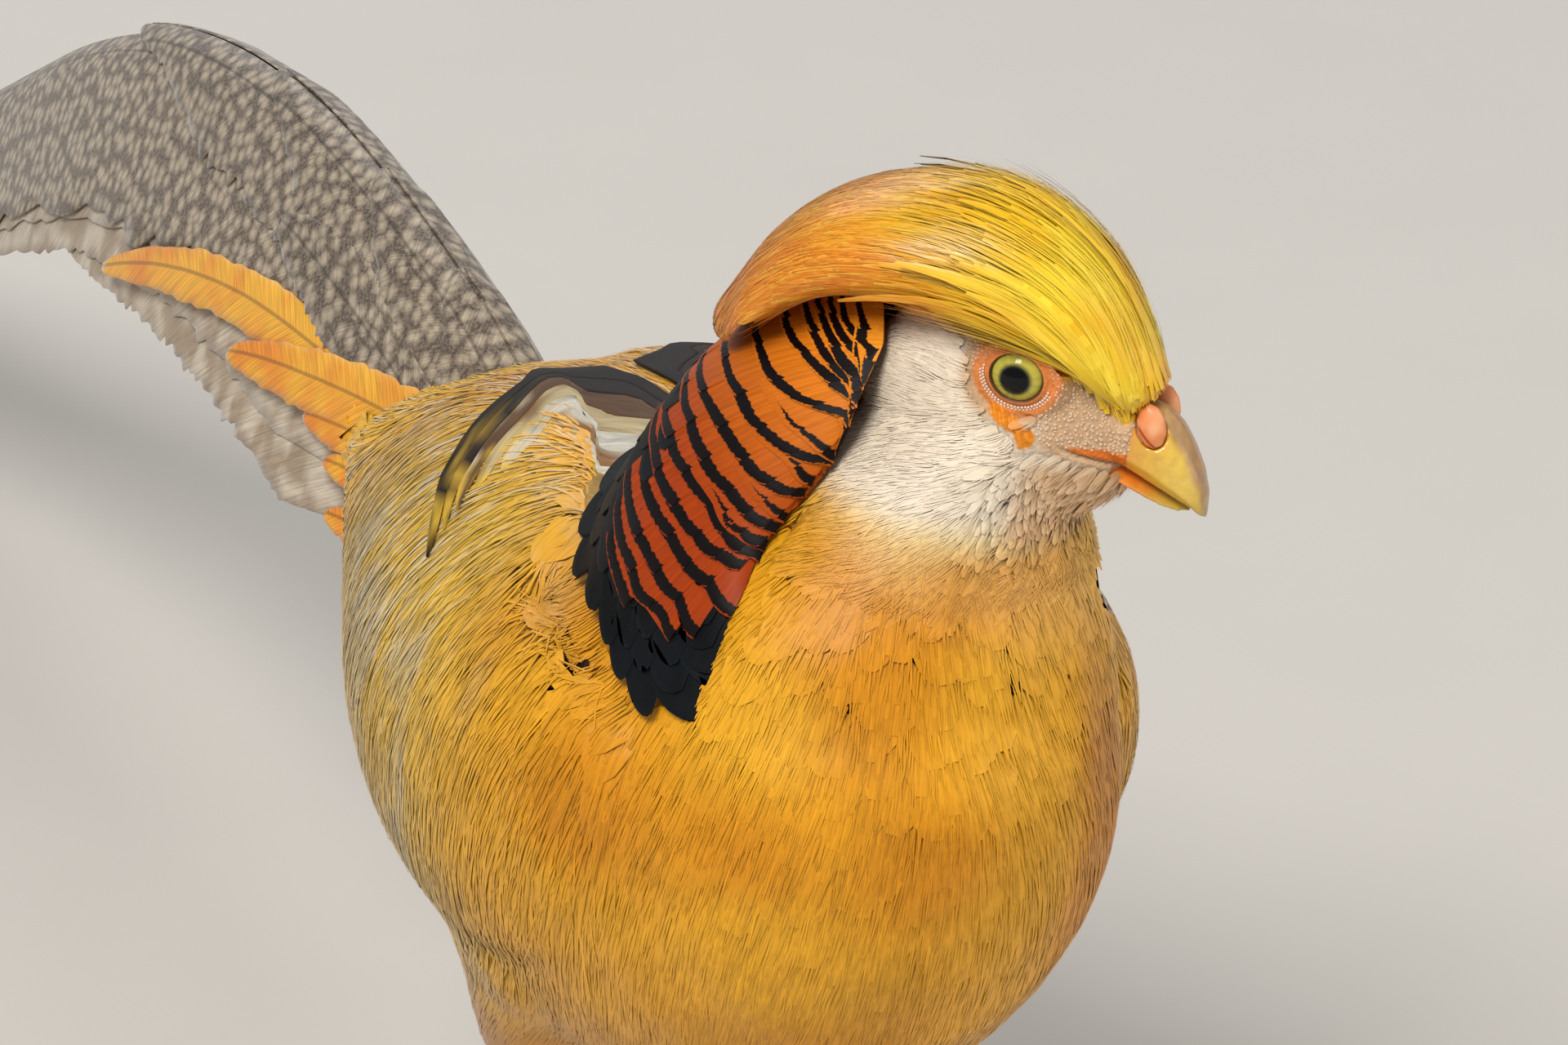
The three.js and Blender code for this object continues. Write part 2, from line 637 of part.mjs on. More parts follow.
// Toes: name, heading from straight ahead, length, thickness and number of joints.
const toes = [
  ["inner", -34, 33, 3.5, 2],
  ["middle", 4, 47, 3.8, 3],
  ["outer", 38, 36, 3.4, 4],
  ["hind", 172, 15, 2.9, 1],
];
const feet = bothSides.flatMap(([word, way]) =>
  toes.flatMap(([toe, heading, length, thick, joints]) => {
    const turn = degToRad(heading);
    const ahead = vec(way * Math.sin(turn), -Math.cos(turn), 0);
    const from = vec(way * LEG_SPREAD, FOOT_BACK - 1, 0).addScaledVector(ahead, 4);
    const raised = toe === "hind" ? 7 : 5;
    const height = (t) => lerp(raised, thick * 0.6, Math.min(1, t * 3));
    const place = (t) => from.clone().addScaledVector(ahead, length * t).setZ(height(t));
    const axis = new THREE.CatmullRomCurve3([0, 0.25, 0.5, 0.75, 1].map(place));
    const bulge = (t) => 1 + 0.13 * Math.cos(2 * Math.PI * joints * t) - 0.2 * t;
    const toeMesh = add(
      bird,
      `toe_${toe}_${word}`,
      limb(axis, (t) => thick * bulge(t), (t) => thick * bulge(t), 5, 8, 0),
      "scale",
    );
    const end = place(1);
    const nail = new THREE.CatmullRomCurve3([
      end.clone().addScaledVector(ahead, -2),
      end.clone().addScaledVector(ahead, 4).setZ(end.z + 1),
      end.clone().addScaledVector(ahead, 11).setZ(1),
    ]);
    const taper = (t) => lerp(thick * 0.5, 0.5, t);
    const claw = add(bird, `claw_${toe}_${word}`, limb(nail, taper, (t) => taper(t) * 1.15, 3, 5, 0), "claw");
    return [toeMesh, claw];
  }),
);
const spurs = bothSides.map(([word, way]) => {
  const root = HEEL(way).lerp(ANKLE(way), 0.62);
  const axis = new THREE.CatmullRomCurve3([
    root,
    root.clone().add(vec(-way * 1, 5.5, 0.5)),
    root.clone().add(vec(-way * 2, 10.5, 3)),
  ]);
  return add(bird, "spur_" + word, limb(axis, (t) => lerp(2.4, 0.5, t), (t) => lerp(2.4, 0.5, t), 3, 5), "claw");
});

// Fitting: each piece gives way to the ones that lie over it or are set into it.
const nearby = (side) => (mesh) => mesh.name.endsWith(side);
for (const [word] of bothSides) {
  const here = nearby(word);
  const shank = shanks.find(here);
  const toesHere = feet.filter((m) => here(m) && m.name.startsWith("toe"));
  const clawsHere = feet.filter((m) => here(m) && m.name.startsWith("claw"));
  toesHere.forEach((toe, i) => carve(toe, [clawsHere[i], ...toesHere.slice(0, i)]));
  carve(shank, [...toesHere, spurs.find(here)]);
  carve(thighs.find(here), [shank]);
}
flaps.forEach((flap) => carve(upperBill, [flap]));
carve(crest, [upperBill, ...flaps, ...eyes]);
carve(face, [crest, upperBill, lowerBill, ...flaps, ...eyes]);
carve(cape, [face, crest]);
carve(mantle, [cape]);
part(neck, trunk, vec(0, -44, 226), vec(0, -0.55, 0.835));
carve(neck, [face, crest, cape, mantle, lowerBill]);
carve(trunk, [cape, mantle, ...thighs, ...shanks, ...tail]);
wings.forEach((wing) => carve(wing, [trunk, mantle, cape, ...tail]));

// The origin goes to the floor, under the middle of the bird's box.
const box = new THREE.Box3().setFromObject(bird, true);
const centre = box.getCenter(vec(0, 0, 0));
bird.position.set(-centre.x, -centre.y, -box.min.z);

export default bird;
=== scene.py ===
"""A yellow golden pheasant cock: skin, plumage, bill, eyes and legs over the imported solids, with a stage.

Lengths are in metres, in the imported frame: the breast faces -Y, the bird's left is +X, the floor is z = 0.
Each vane is a thin closed solid lofted along its own spine, which is traced over the smoothed solid below.
"""

import itertools
import math

import bmesh
import bpy
import numpy as np
from bpy.props import FloatProperty, FloatVectorProperty, PointerProperty
from mathutils import Matrix, Vector
from mathutils.bvhtree import BVHTree


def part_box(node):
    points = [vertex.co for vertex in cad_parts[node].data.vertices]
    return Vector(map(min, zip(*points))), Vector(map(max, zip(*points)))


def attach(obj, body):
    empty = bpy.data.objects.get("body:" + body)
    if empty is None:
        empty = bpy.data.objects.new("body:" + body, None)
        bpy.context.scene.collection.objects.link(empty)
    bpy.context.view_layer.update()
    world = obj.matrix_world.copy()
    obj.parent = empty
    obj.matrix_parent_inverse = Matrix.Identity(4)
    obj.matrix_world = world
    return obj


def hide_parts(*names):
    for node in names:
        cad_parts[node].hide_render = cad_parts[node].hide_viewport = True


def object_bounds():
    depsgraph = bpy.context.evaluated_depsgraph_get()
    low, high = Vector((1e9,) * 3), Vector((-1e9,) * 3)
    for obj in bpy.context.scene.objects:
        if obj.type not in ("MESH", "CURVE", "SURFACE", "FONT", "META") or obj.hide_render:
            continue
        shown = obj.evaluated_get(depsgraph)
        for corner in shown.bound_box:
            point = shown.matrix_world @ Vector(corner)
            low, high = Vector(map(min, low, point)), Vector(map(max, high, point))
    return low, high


bl_info = {
    "name": "Golden pheasant",
    "version": (1, 0, 0),
    "blender": (4, 5, 0),
    "location": "3D View > Sidebar > Pheasant",
    "description": "Builds the skin, plumage, bill, eyes and legs of a pheasant cock over its solids",
    "category": "Add Mesh",
}

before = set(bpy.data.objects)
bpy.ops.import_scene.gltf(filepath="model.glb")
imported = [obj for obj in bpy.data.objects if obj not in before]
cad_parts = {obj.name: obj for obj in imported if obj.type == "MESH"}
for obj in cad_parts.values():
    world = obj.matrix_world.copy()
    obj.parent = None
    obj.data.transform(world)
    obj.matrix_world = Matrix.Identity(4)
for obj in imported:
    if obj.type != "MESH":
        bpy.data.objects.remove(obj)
CAD_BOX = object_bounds()

MM = 0.001
SIDES = (("right", -1), ("left", 1))
FLESH = ("trunk", "neck", "head", "thigh_right", "thigh_left")
HEAD_DIP = math.radians(10)  # bill lowered
EYE_OUT = 7.4  # mm from the middle of the head to the middle of an eye
EYE_AHEAD = 1.0  # mm, the eyes ahead of the head's own origin
EYE_UP = 1.8  # mm, and above it
EYE_BALL = 7.0  # mm, radius
PATCH = 0.003  # width of a tuft's patch on the bake map
VANE_PATCH = 0.02  # and of a broad vane's
CLEAR_OF_BARS = 60.0  # mm, a place along a vane's pattern where it has no bar
SHUFFLE = 61.0  # per m, moves the streaks with the place, so that no two vanes have the same
BODY_PITCH = 10.0  # degrees, the breast is carried higher than the rump
BODY_PLACE = np.array([0.0, -305.4, 176.0]) * MM  # middle of the trunk


# Numbers and colours


def linear(colour):
    """An sRGB hex colour as linear red, green and blue."""
    channels = np.array([int(colour[i : i + 2], 16) for i in (1, 3, 5)]) / 255
    return np.where(channels <= 0.04045, channels / 12.92, ((channels + 0.055) / 1.055) ** 2.4)


def mix(a, b, share):
    """From a to b by share, a number for each point."""
    share = np.asarray(share)[..., None]
    return a * (1 - share) + b * share


def smooth(value, low, high):
    """0 below low, 1 above high and a soft step between."""
    t = np.clip((value - low) / (high - low), 0, 1)
    return t * t * (3 - 2 * t)


def unit(vectors):
    """The vectors at length 1."""
    return vectors / np.maximum(np.linalg.norm(vectors, axis=-1, keepdims=True), 1e-12)


def cloud(points, size, seed=0):
    """Soft noise from 0 to 1, in lumps about size across."""
    place = points / size + 31.7 * (seed + 1)
    cell = np.floor(place).astype(np.int64)
    part = place - cell
    part = part * part * (3 - 2 * part)
    total = 0
    for corner in itertools.product((0, 1), repeat=3):
        key = (cell + np.array(corner)) @ np.array([73856093, 19349663, 83492791])
        key = (key ^ (key >> 13)) * 1274126177
        value = ((key ^ (key >> 16)) & 0xFFFFFF) / 0xFFFFFF
        total = total + value * np.prod(np.where(corner, part, 1 - part), axis=-1)
    return total


# The head's own frame, in mm: +X to the bill, +Y to the bird's left, +Z up, from just below the eyes


def centre(node):
    low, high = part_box(node)
    return (np.array(low) + np.array(high)) / 2


def head_axes():
    left = unit(centre("eye_left") - centre("eye_right"))
    ahead = np.cross(left, (0, 0, 1))
    ahead = ahead * math.cos(HEAD_DIP) - np.array([0, 0, math.sin(HEAD_DIP)])
    return np.array([ahead, left, np.cross(ahead, left)])


HEAD_AXES = head_axes()
BETWEEN_EYES = (centre("eye_left") + centre("eye_right")) / 2
HEAD_PLACE = BETWEEN_EYES - np.array([EYE_AHEAD, 0, EYE_UP]) * MM @ HEAD_AXES


def to_head(points):
    return (points - HEAD_PLACE) @ HEAD_AXES.T / MM


def from_head(local):
    return np.asarray(local) * MM @ HEAD_AXES + HEAD_PLACE


def turned(local):
    """Directions of the head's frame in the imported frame."""
    return np.asarray(local) @ HEAD_AXES


# Forms: smoothed copies of the solids that feathers lie on


def read(mesh, field="co"):
    """A mesh's points, or their normals."""
    values = np.empty(len(mesh.vertices) * 3)
    mesh.vertices.foreach_get(field, values)
    return values.reshape(-1, 3)


def new_object(name, data):
    made = bpy.data.objects.new(name, data)
    bpy.context.collection.objects.link(made)
    return made


def smoothed(name, nodes, grain, rounds, swollen=False):
    """A new object of the named nodes, with an even mesh of small faces and its facets rounded off."""
    shape = bmesh.new()
    for node in nodes:
        shape.from_mesh(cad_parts[node].data)
    bmesh.ops.remove_doubles(shape, verts=shape.verts, dist=1e-6)
    if swollen:
        swell(shape)
    rough = bpy.data.meshes.new(name)
    shape.to_mesh(rough)
    shape.free()
    made = new_object(name, rough)
    even = made.modifiers.new("even", "REMESH")
    even.mode = "VOXEL"
    even.voxel_size = grain
    made.modifiers.new("soft", "SMOOTH").iterations = rounds
    result = made.evaluated_get(bpy.context.evaluated_depsgraph_get())
    mesh = bpy.data.meshes.new_from_object(result)
    made.modifiers.clear()
    made.data = mesh
    bpy.data.meshes.remove(rough)
    return made


class Form:
    """A smooth surface that answers where its nearest point is and which way it faces."""

    def __init__(self, nodes, grain, rounds, swollen=False):
        made = smoothed("form", nodes, grain, rounds, swollen)
        mesh = made.data
        self.points, self.normals = read(mesh), read(mesh, "normal")
        self.quads = np.array([p.vertices[:] for p in mesh.polygons if len(p.vertices) == 4])
        self.tree = BVHTree.FromPolygons(self.points.tolist(), self.quads.tolist())
        bpy.data.objects.remove(made)
        bpy.data.meshes.remove(mesh)

    def near(self, points):
        """The nearest places on the form and its soft normals there."""
        hits = [self.tree.find_nearest(p) for p in points.reshape(-1, 3).tolist()]
        place = np.array([h[0][:] for h in hits])
        corners = self.quads[[h[2] for h in hits]]
        away = np.linalg.norm(self.points[corners] - place[:, None], axis=-1)
        weight = 1 / (away**2 + 1e-9)
        normals = unit((self.normals[corners] * weight[..., None]).sum(1))
        return place.reshape(points.shape), normals.reshape(points.shape)

    def distance(self, points):
        """How far each point is from the form."""
        hits = [self.tree.find_nearest(p)[3] for p in points.reshape(-1, 3).tolist()]
        return np.array(hits).reshape(points.shape[:-1])

    def scatter(self, spacing, seed, keep=None):
        """Points spread over the form about spacing apart, where keep(points) is true."""
        rng = np.random.default_rng(seed)
        corner = self.points[self.quads]
        area = np.linalg.norm(np.cross(corner[:, 2] - corner[:, 0], corner[:, 3] - corner[:, 1]), axis=1) / 2
        count = int(5 * area.sum() / spacing**2)
        face = corner[rng.choice(len(area), count, p=area / area.sum())]
        s, t = rng.random((2, count, 1))
        points = mix_corners(face, s, t)
        cell = np.floor(points / spacing + rng.random(3)).astype(int)
        points = points[np.sort(np.unique(cell, axis=0, return_index=True)[1])]
        return points if keep is None else points[keep(points)]


def mix_corners(face, s, t):
    low = face[:, 0] * (1 - s) + face[:, 1] * s
    high = face[:, 3] * (1 - s) + face[:, 2] * s
    return low * (1 - t) + high * t


def trace(form, roots, flow, lengths, rows):
    """Spines over the form from the roots along flow(points), as points and normals of each row."""
    step = (lengths / (rows - 1))[:, None]
    place, normal = form.near(roots)
    places, normals = [place], [normal]
    heading = np.zeros_like(place)
    for _ in range(rows - 1):
        way = flow(place)
        way = unit(way - normal * (way * normal).sum(-1, keepdims=True))
        heading = unit(heading * 0.4 + way)
        place, normal = form.near(place + heading * step)
        places.append(place)
        normals.append(normal)
    return np.stack(places, 1), np.stack(normals, 1)


class Sheet:
    """A patch of surface as a grid of points and normals, read at fractional places."""

    def __init__(self, points, normals):
        self.points, self.normals = points, normals

    def at(self, across, along):
        across, along = np.broadcast_arrays(across, along)
        a = np.clip(across, 0, self.points.shape[0] - 1.001)
        b = np.clip(along, 0, self.points.shape[1] - 1.001)
        i, j = a.astype(int), b.astype(int)
        s, t = (a - i)[..., None], (b - j)[..., None]
        point, normal = (
            (grid[i, j] * (1 - t) + grid[i, j + 1] * t) * (1 - s)
            + (grid[i + 1, j] * (1 - t) + grid[i + 1, j + 1] * t) * s
            for grid in (self.points, self.normals)
        )
        return point, unit(normal)


def travelled(spine):
    """How far along its spine each row is, in mm."""
    return np.linalg.norm(np.diff(spine, axis=1, prepend=spine[:, :1]), axis=-1).cumsum(1) / MM


# Coats: many thin solids gathered into one mesh


class Coat:
    """Vanes, beads and beds of one piece."""

    def __init__(self):
        self.points, self.colours, self.places, self.vane, self.up, self.loops, self.sizes, self.soft = (
            [] for _ in range(8)
        )
        self.count = 0

    def add(self, points, loops, sizes, soft, colours, places, vane, up=None):
        self.points.append(points)
        self.up.append(np.zeros_like(points) if up is None else up)
        self.colours.append(np.broadcast_to(colours, points.shape))
        self.places.append(places)
        self.vane.append(vane)
        self.loops.append(loops + self.count)
        self.sizes.append(sizes)
        self.soft.append(soft)
        self.count += len(points)

    def vanes(self, spine, up, half, paint, places, columns=3, crown=0.3, patch=PATCH):
        """Lofts one vane along each spine.

        half is its half width at each row, and crown is the rise of its middle as a share of that.
        """
        along = unit(np.gradient(spine, axis=1))
        level = unit(up.mean(1, keepdims=True))  # one for the whole vane, so that it isn't twisted
        side = unit(np.cross(along, level))
        over = np.cross(side, along)
        across = np.linspace(-1, 1, columns)
        wide = half[:, :, None] * across
        rise = crown * half[:, :, None] * (1 - across**2)
        top = spine[:, :, None] + side[:, :, None] * wide[..., None]
        top = top + over[:, :, None] * rise[..., None]
        self.loft(top, over, up, wide / MM, travelled(spine), paint, places, 0, patch)

    def lay(self, sheet, across, along, rise, paint, places, thick, patch, vane=None):
        """Lays broad vanes on a sheet, at fractional places of it for each row and column.

        vane is where across and along the pattern each place is, in mm, if not those of the vane itself.
        """
        flat, normal = sheet.at(across, along)
        middle = flat.shape[2] // 2
        way = np.gradient(flat[:, :, middle], axis=1)
        up = normal[:, :, middle]
        top = flat + normal * np.broadcast_to(rise, flat.shape[:3])[..., None]
        if vane is None:
            wide = np.linalg.norm(top - top[:, :, middle, None], axis=-1) / MM
            vane = wide * np.linspace(-1, 1, top.shape[2]), travelled(top[:, :, middle])[:, :, None]
        vane = np.broadcast_arrays(*vane, flat[..., 0])[:2]
        if (np.cross(way, up) * (flat[:, :, -1] - flat[:, :, 0])).sum() < 0:
            top, vane = top[:, :, ::-1], [part[:, :, ::-1] for part in vane]
        self.loft(top, up, up, *vane, paint, places, thick, patch)

    def loft(self, top, over, up, wide, far, paint, places, thick, patch):
        """Closes each sheet of points into a solid: flat below, or with a second sheet thick under the first.

        wide and far are the places across and along each vane, in mm, that patterns are drawn by.
        """
        count, rows, columns, _ = top.shape
        ring, v = top, np.linspace(-1, 1, columns)
        far = far[:, :, None] if far.ndim == 2 else far
        vane = np.stack(np.broadcast_arrays(wide, far), -1)
        if thick:
            ring = np.concatenate([top, (top - over[:, :, None] * thick)[:, :, ::-1]], 2)
            vane = np.concatenate([vane, vane[:, :, ::-1]], 2)
            v = np.concatenate([v, v[::-1]])
        n = len(v)
        u = np.linspace(0, 1, rows)
        base = np.arange(count)[:, None, None] * rows * n
        r = np.arange(rows - 1)[:, None]
        c = np.arange(n)
        quad = np.stack([r * n + c, r * n + (c + 1) % n, (r + 1) * n + (c + 1) % n, (r + 1) * n + c], -1)
        quads = (base[..., None] + quad[None]).reshape(-1, 4)
        ends = (base + np.stack([c[::-1], (rows - 1) * n + c])[None]).reshape(-1, n)
        soft = np.tile(np.broadcast_to(c < columns - 1, (rows - 1, n)).ravel(), count)
        spread = np.stack(np.broadcast_arrays(v / 2, (u - 0.5)[:, None]), -1) * patch
        self.add(
            ring.reshape(-1, 3),
            np.concatenate([quads.ravel(), ends.ravel()]),
            np.concatenate([np.full(len(quads), 4), np.full(len(ends), n)]),
            np.concatenate([soft, np.zeros(len(ends), bool)]),
            paint(ring, u[None, :, None], v[None, None, :]).reshape(-1, 3),
            (places[:, None, None] + spread[None]).reshape(-1, 2),
            vane.reshape(-1, 2),
            np.broadcast_to(up[:, :, None], ring.shape).reshape(-1, 3),
        )

    def beads(self, centres, normals, radius, colours, places):
        """Small domes that stand on a skin."""
        turn = np.arange(6) * math.pi / 3
        level = np.array([[1.0, -0.5], [0.85, 0.45]])
        circle = np.stack([np.cos(turn), np.sin(turn)], -1)
        rim = [np.column_stack([circle * wide, np.full(6, high)]) for wide, high in level]
        rim = np.concatenate(rim + [[[0, 0, 0.85]]])
        first = unit(np.cross(normals, (0.3, 0.5, 0.8)))
        second = np.cross(normals, first)
        axes = np.stack([first, second, normals], 1)
        points = centres[:, None] + radius[:, None, None] * (rim @ axes)
        loops = [[i for i in range(5, -1, -1)]]
        loops += [[i, (i + 1) % 6, 6 + (i + 1) % 6, 6 + i] for i in range(6)]
        loops += [[6 + i, 6 + (i + 1) % 6, 12] for i in range(6)]
        flat = np.array(sum(loops, []))
        sizes = np.array([len(f) for f in loops])
        base = np.arange(len(centres))[:, None] * 13
        self.add(
            points.reshape(-1, 3),
            (base + flat).ravel(),
            np.tile(sizes, len(centres)),
            np.tile(sizes < 6, len(centres)),
            np.repeat(colours, 13, 0),
            (places[:, None] + rim[None, :, :2] * PATCH / 2).reshape(-1, 2),
            np.zeros((len(centres) * 13, 2)),
        )

    def add_quads(self, points, loops, colours, unwrap, vane):
        count = loops.size // 4
        place = np.full((len(points), 2), vane)
        self.add(
            points, loops.ravel(), np.full(count, 4), np.ones(count, bool), colours, unwrap(points), place
        )

    def bed(self, form, depth, paint, unwrap, shape=None, keep=None):
        """The form, or the part where keep(points) is true, sunk by depth, as what shows between vanes."""
        quads = form.quads if keep is None else form.quads[keep(form.points[form.quads[:, 0]])]
        used, loops = np.unique(quads, return_inverse=True)
        sunk = depth(form.points)[:, None] if callable(depth) else depth
        points = (form.points - form.normals * sunk)[used]
        if shape is not None:
            points = shape(points)
        self.add_quads(points, loops, paint(points), unwrap, 0.0)

    def under(self, sheet, shown, depth, colour, unwrap):
        """The shown part of a sheet, sunk by depth, as what shows between the vanes laid on it."""
        rows = sheet.points.shape[1]
        i, j = np.nonzero(shown[:-1, :-1])
        quads = (i * rows + j)[:, None] + np.array([0, rows, rows + 1, 1])
        flat = (sheet.points - sheet.normals * depth[..., None]).reshape(-1, 3)
        first = flat[quads]
        out = np.cross(first[:, 1] - first[:, 0], first[:, 3] - first[:, 0])
        if (out * sheet.normals.reshape(-1, 3)[quads[:, 0]]).sum() < 0:
            quads = quads[:, ::-1]
        used, quads = np.unique(quads, return_inverse=True)
        self.add_quads(flat[used], quads, linear(colour), unwrap, CLEAR_OF_BARS)

    def build(self, name, material, slot, nodes=(), satin=0.0):
        """Makes the object, on the body, in place of the named nodes.

        satin turns each vane's shading towards that of the form below, as barbs that lie close together do.
        """
        points = np.concatenate(self.points)
        loops = np.concatenate(self.loops)
        sizes = np.concatenate(self.sizes)
        mesh = bpy.data.meshes.new(name)
        mesh.vertices.add(len(points))
        mesh.vertices.foreach_set("co", points.ravel())
        mesh.loops.add(len(loops))
        mesh.loops.foreach_set("vertex_index", loops.astype(np.int32))
        mesh.polygons.add(len(sizes))
        mesh.polygons.foreach_set("loop_start", (sizes.cumsum() - sizes).astype(np.int32))
        mesh.polygons.foreach_set("use_smooth", np.concatenate(self.soft))
        places, vane = (np.concatenate(values)[loops] for values in (self.places, self.vane))
        dress(mesh, np.concatenate(self.colours), places, vane)
        mesh.update(calc_edges=True)
        if satin:
            turned_up = unit(read(mesh, "normal") * (1 - satin) + np.concatenate(self.up) * satin)
            mesh.normals_split_custom_set_from_vertices(turned_up)
        mesh.materials.append(material)
        placed(new_object(name, mesh), nodes)


def dress(mesh, colours, places, vane=None):
    """Gives a mesh its colours and its bake map, and where across and along a vane each corner is, in mm."""
    layer = mesh.color_attributes.new("Plumage", "FLOAT_COLOR", "POINT")
    layer.data.foreach_set("color", np.column_stack([colours, np.ones(len(colours))]).ravel())
    mesh.uv_layers.new(name="OFBake").data.foreach_set("uv", places.ravel())
    if vane is not None:
        mesh.uv_layers.new(name="Vane").data.foreach_set("uv", vane.ravel())


def dress_evenly(made, colours, places, material):
    """Gives a smooth mesh its colours, its bake map and its material."""
    mesh = made.data
    corners = np.empty(len(mesh.loops), np.int32)
    mesh.loops.foreach_get("vertex_index", corners)
    dress(mesh, colours, places[corners])
    mesh.polygons.foreach_set("use_smooth", np.ones(len(mesh.polygons), bool))
    mesh.materials.append(material)


def placed(made, nodes=()):
    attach(made, "root")
    if nodes:
        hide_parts(*nodes)


# Unwraps of the skin's own shape, for the bake map


def round_body(points):
    """The body rolled out: turn about its long axis across, and place along it."""
    low, high = np.array(CAD_BOX[0]), np.array(CAD_BOX[1])
    middle = centre("trunk")
    turn = np.arctan2(points[..., 0], points[..., 2] - middle[2]) / (2 * math.pi) + 0.5
    along = (points[..., 1] - low[1]) / (high[1] - low[1])
    return 0.01 + 0.98 * np.stack([turn, np.clip(along * 2, 0, 1)], -1)


def round_head(points):
    """The head rolled out about its long axis."""
    local = to_head(points)
    turn = np.arctan2(local[..., 1], local[..., 2] + 10) / (2 * math.pi) + 0.5
    along = (local[..., 0] + 65) / 110
    return 0.01 + 0.98 * np.clip(np.stack([turn, along], -1), 0, 1)


# Materials


def add(tree, kind, inputs=None, **settings):
    """Adds a shader node with its settings, and sets or links its inputs."""
    made = tree.nodes.new("ShaderNode" + kind)
    for name, value in settings.items():
        setattr(made, name, value)
    for name, value in (inputs or {}).items():
        if isinstance(value, bpy.types.NodeSocket):
            tree.links.new(value, made.inputs[name])
        else:
            made.inputs[name].default_value = value
    return made


def blank(name, **finish):
    """A material with a bare shader, whose uniform values are set on its own sockets."""
    material = bpy.data.materials.new(name)
    material.use_nodes = True
    shader = material.node_tree.nodes["Principled BSDF"]
    for socket, value in finish.items():
        shader.inputs[socket.replace("_", " ")].default_value = value
    return material, material.node_tree, shader


def coloured(name, **finish):
    """A blank material that shows each point's own colour."""
    material, tree, shader = blank(name, **finish)
    colour = add(tree, "Attribute", attribute_name="Plumage").outputs["Color"]
    tree.links.new(colour, shader.inputs["Base Color"])
    return material, tree, shader, colour


def grained(tree, shader, colour, grain, reach, tones, strength=0.0, height=0.0, **settings):
    """Shades a colour by a grain whose values in reach become the tones, and raises it by height in mm."""
    limits = {"From Min": reach[0], "From Max": reach[1], "To Min": tones[0], "To Max": tones[1]}
    shade = add(tree, "MapRange", {"Value": grain} | limits).outputs[0]
    shaded = add(tree, "VectorMath", {0: colour, "Scale": shade}, operation="SCALE").outputs[0]
    tree.links.new(shaded, shader.inputs["Base Color"])
    if strength:
        bump = add(tree, "Bump", {"Height": grain, "Strength": strength, "Distance": height * MM}, **settings)
        tree.links.new(bump.outputs[0], shader.inputs["Normal"])


def barbs(name, spacing=0.5, run=9.0, dark=0.25, relief=0.25, **finish):
    """Keratin barbs: fine streaks along a vane, spacing mm apart and about run mm long, over its own colour.

    Real barbs are about 0.3 mm apart, which is finer than a render's pixels, so they are drawn coarser.
    """
    usual = {"Roughness": 0.45, "Sheen_Weight": 0.08, "Sheen_Roughness": 0.35}
    material, tree, shader, colour = coloured(name, **usual | finish)
    vane = add(tree, "UVMap", uv_map="Vane").outputs["UV"]
    place = add(tree, "NewGeometry").outputs["Position"]
    patch = add(tree, "VectorMath", {0: place, 1: (SHUFFLE,) * 3}, operation="MULTIPLY").outputs[0]
    scale = (1 / spacing, 1 / run, 1.0)
    scaled = add(tree, "VectorMath", {0: vane, 1: scale}, operation="MULTIPLY").outputs[0]
    moved = add(tree, "VectorMath", {0: scaled, 1: patch}, operation="ADD").outputs[0]
    streak = add(tree, "TexNoise", {"Vector": moved, "Scale": 1.0, "Detail": 2.0}).outputs["Fac"]
    grained(tree, shader, colour, streak, (0.3, 0.7), (1 - dark, 1.1), relief, 0.2)
    return material


# Markings: the colour of skin and coat at each place, so that both agree

GOLD = linear("#E5A31C")
AMBER = linear("#D3870A")
# The next colour is painted shade, for the lower body.
SHADED_GOLD = linear("#B26804")
CREAM = linear("#EACB84")
STRAW = linear("#E3B63A")
ASH = linear("#BFB497")
CHEEK = linear("#EAD6BA")
PINK_SKIN = linear("#D2AA80")
ORANGE_SKIN = linear("#E58A45")
WATTLE = linear("#F0921C")
LIGHTENED_CHIN = linear("#DDA462")


def orbit(local):
    """How far a point of the head is from the middle of its eye, seen from the side, in mm."""
    return np.hypot((local[..., 0] - EYE_AHEAD) / 1.04, (local[..., 2] - EYE_UP) / 0.97)


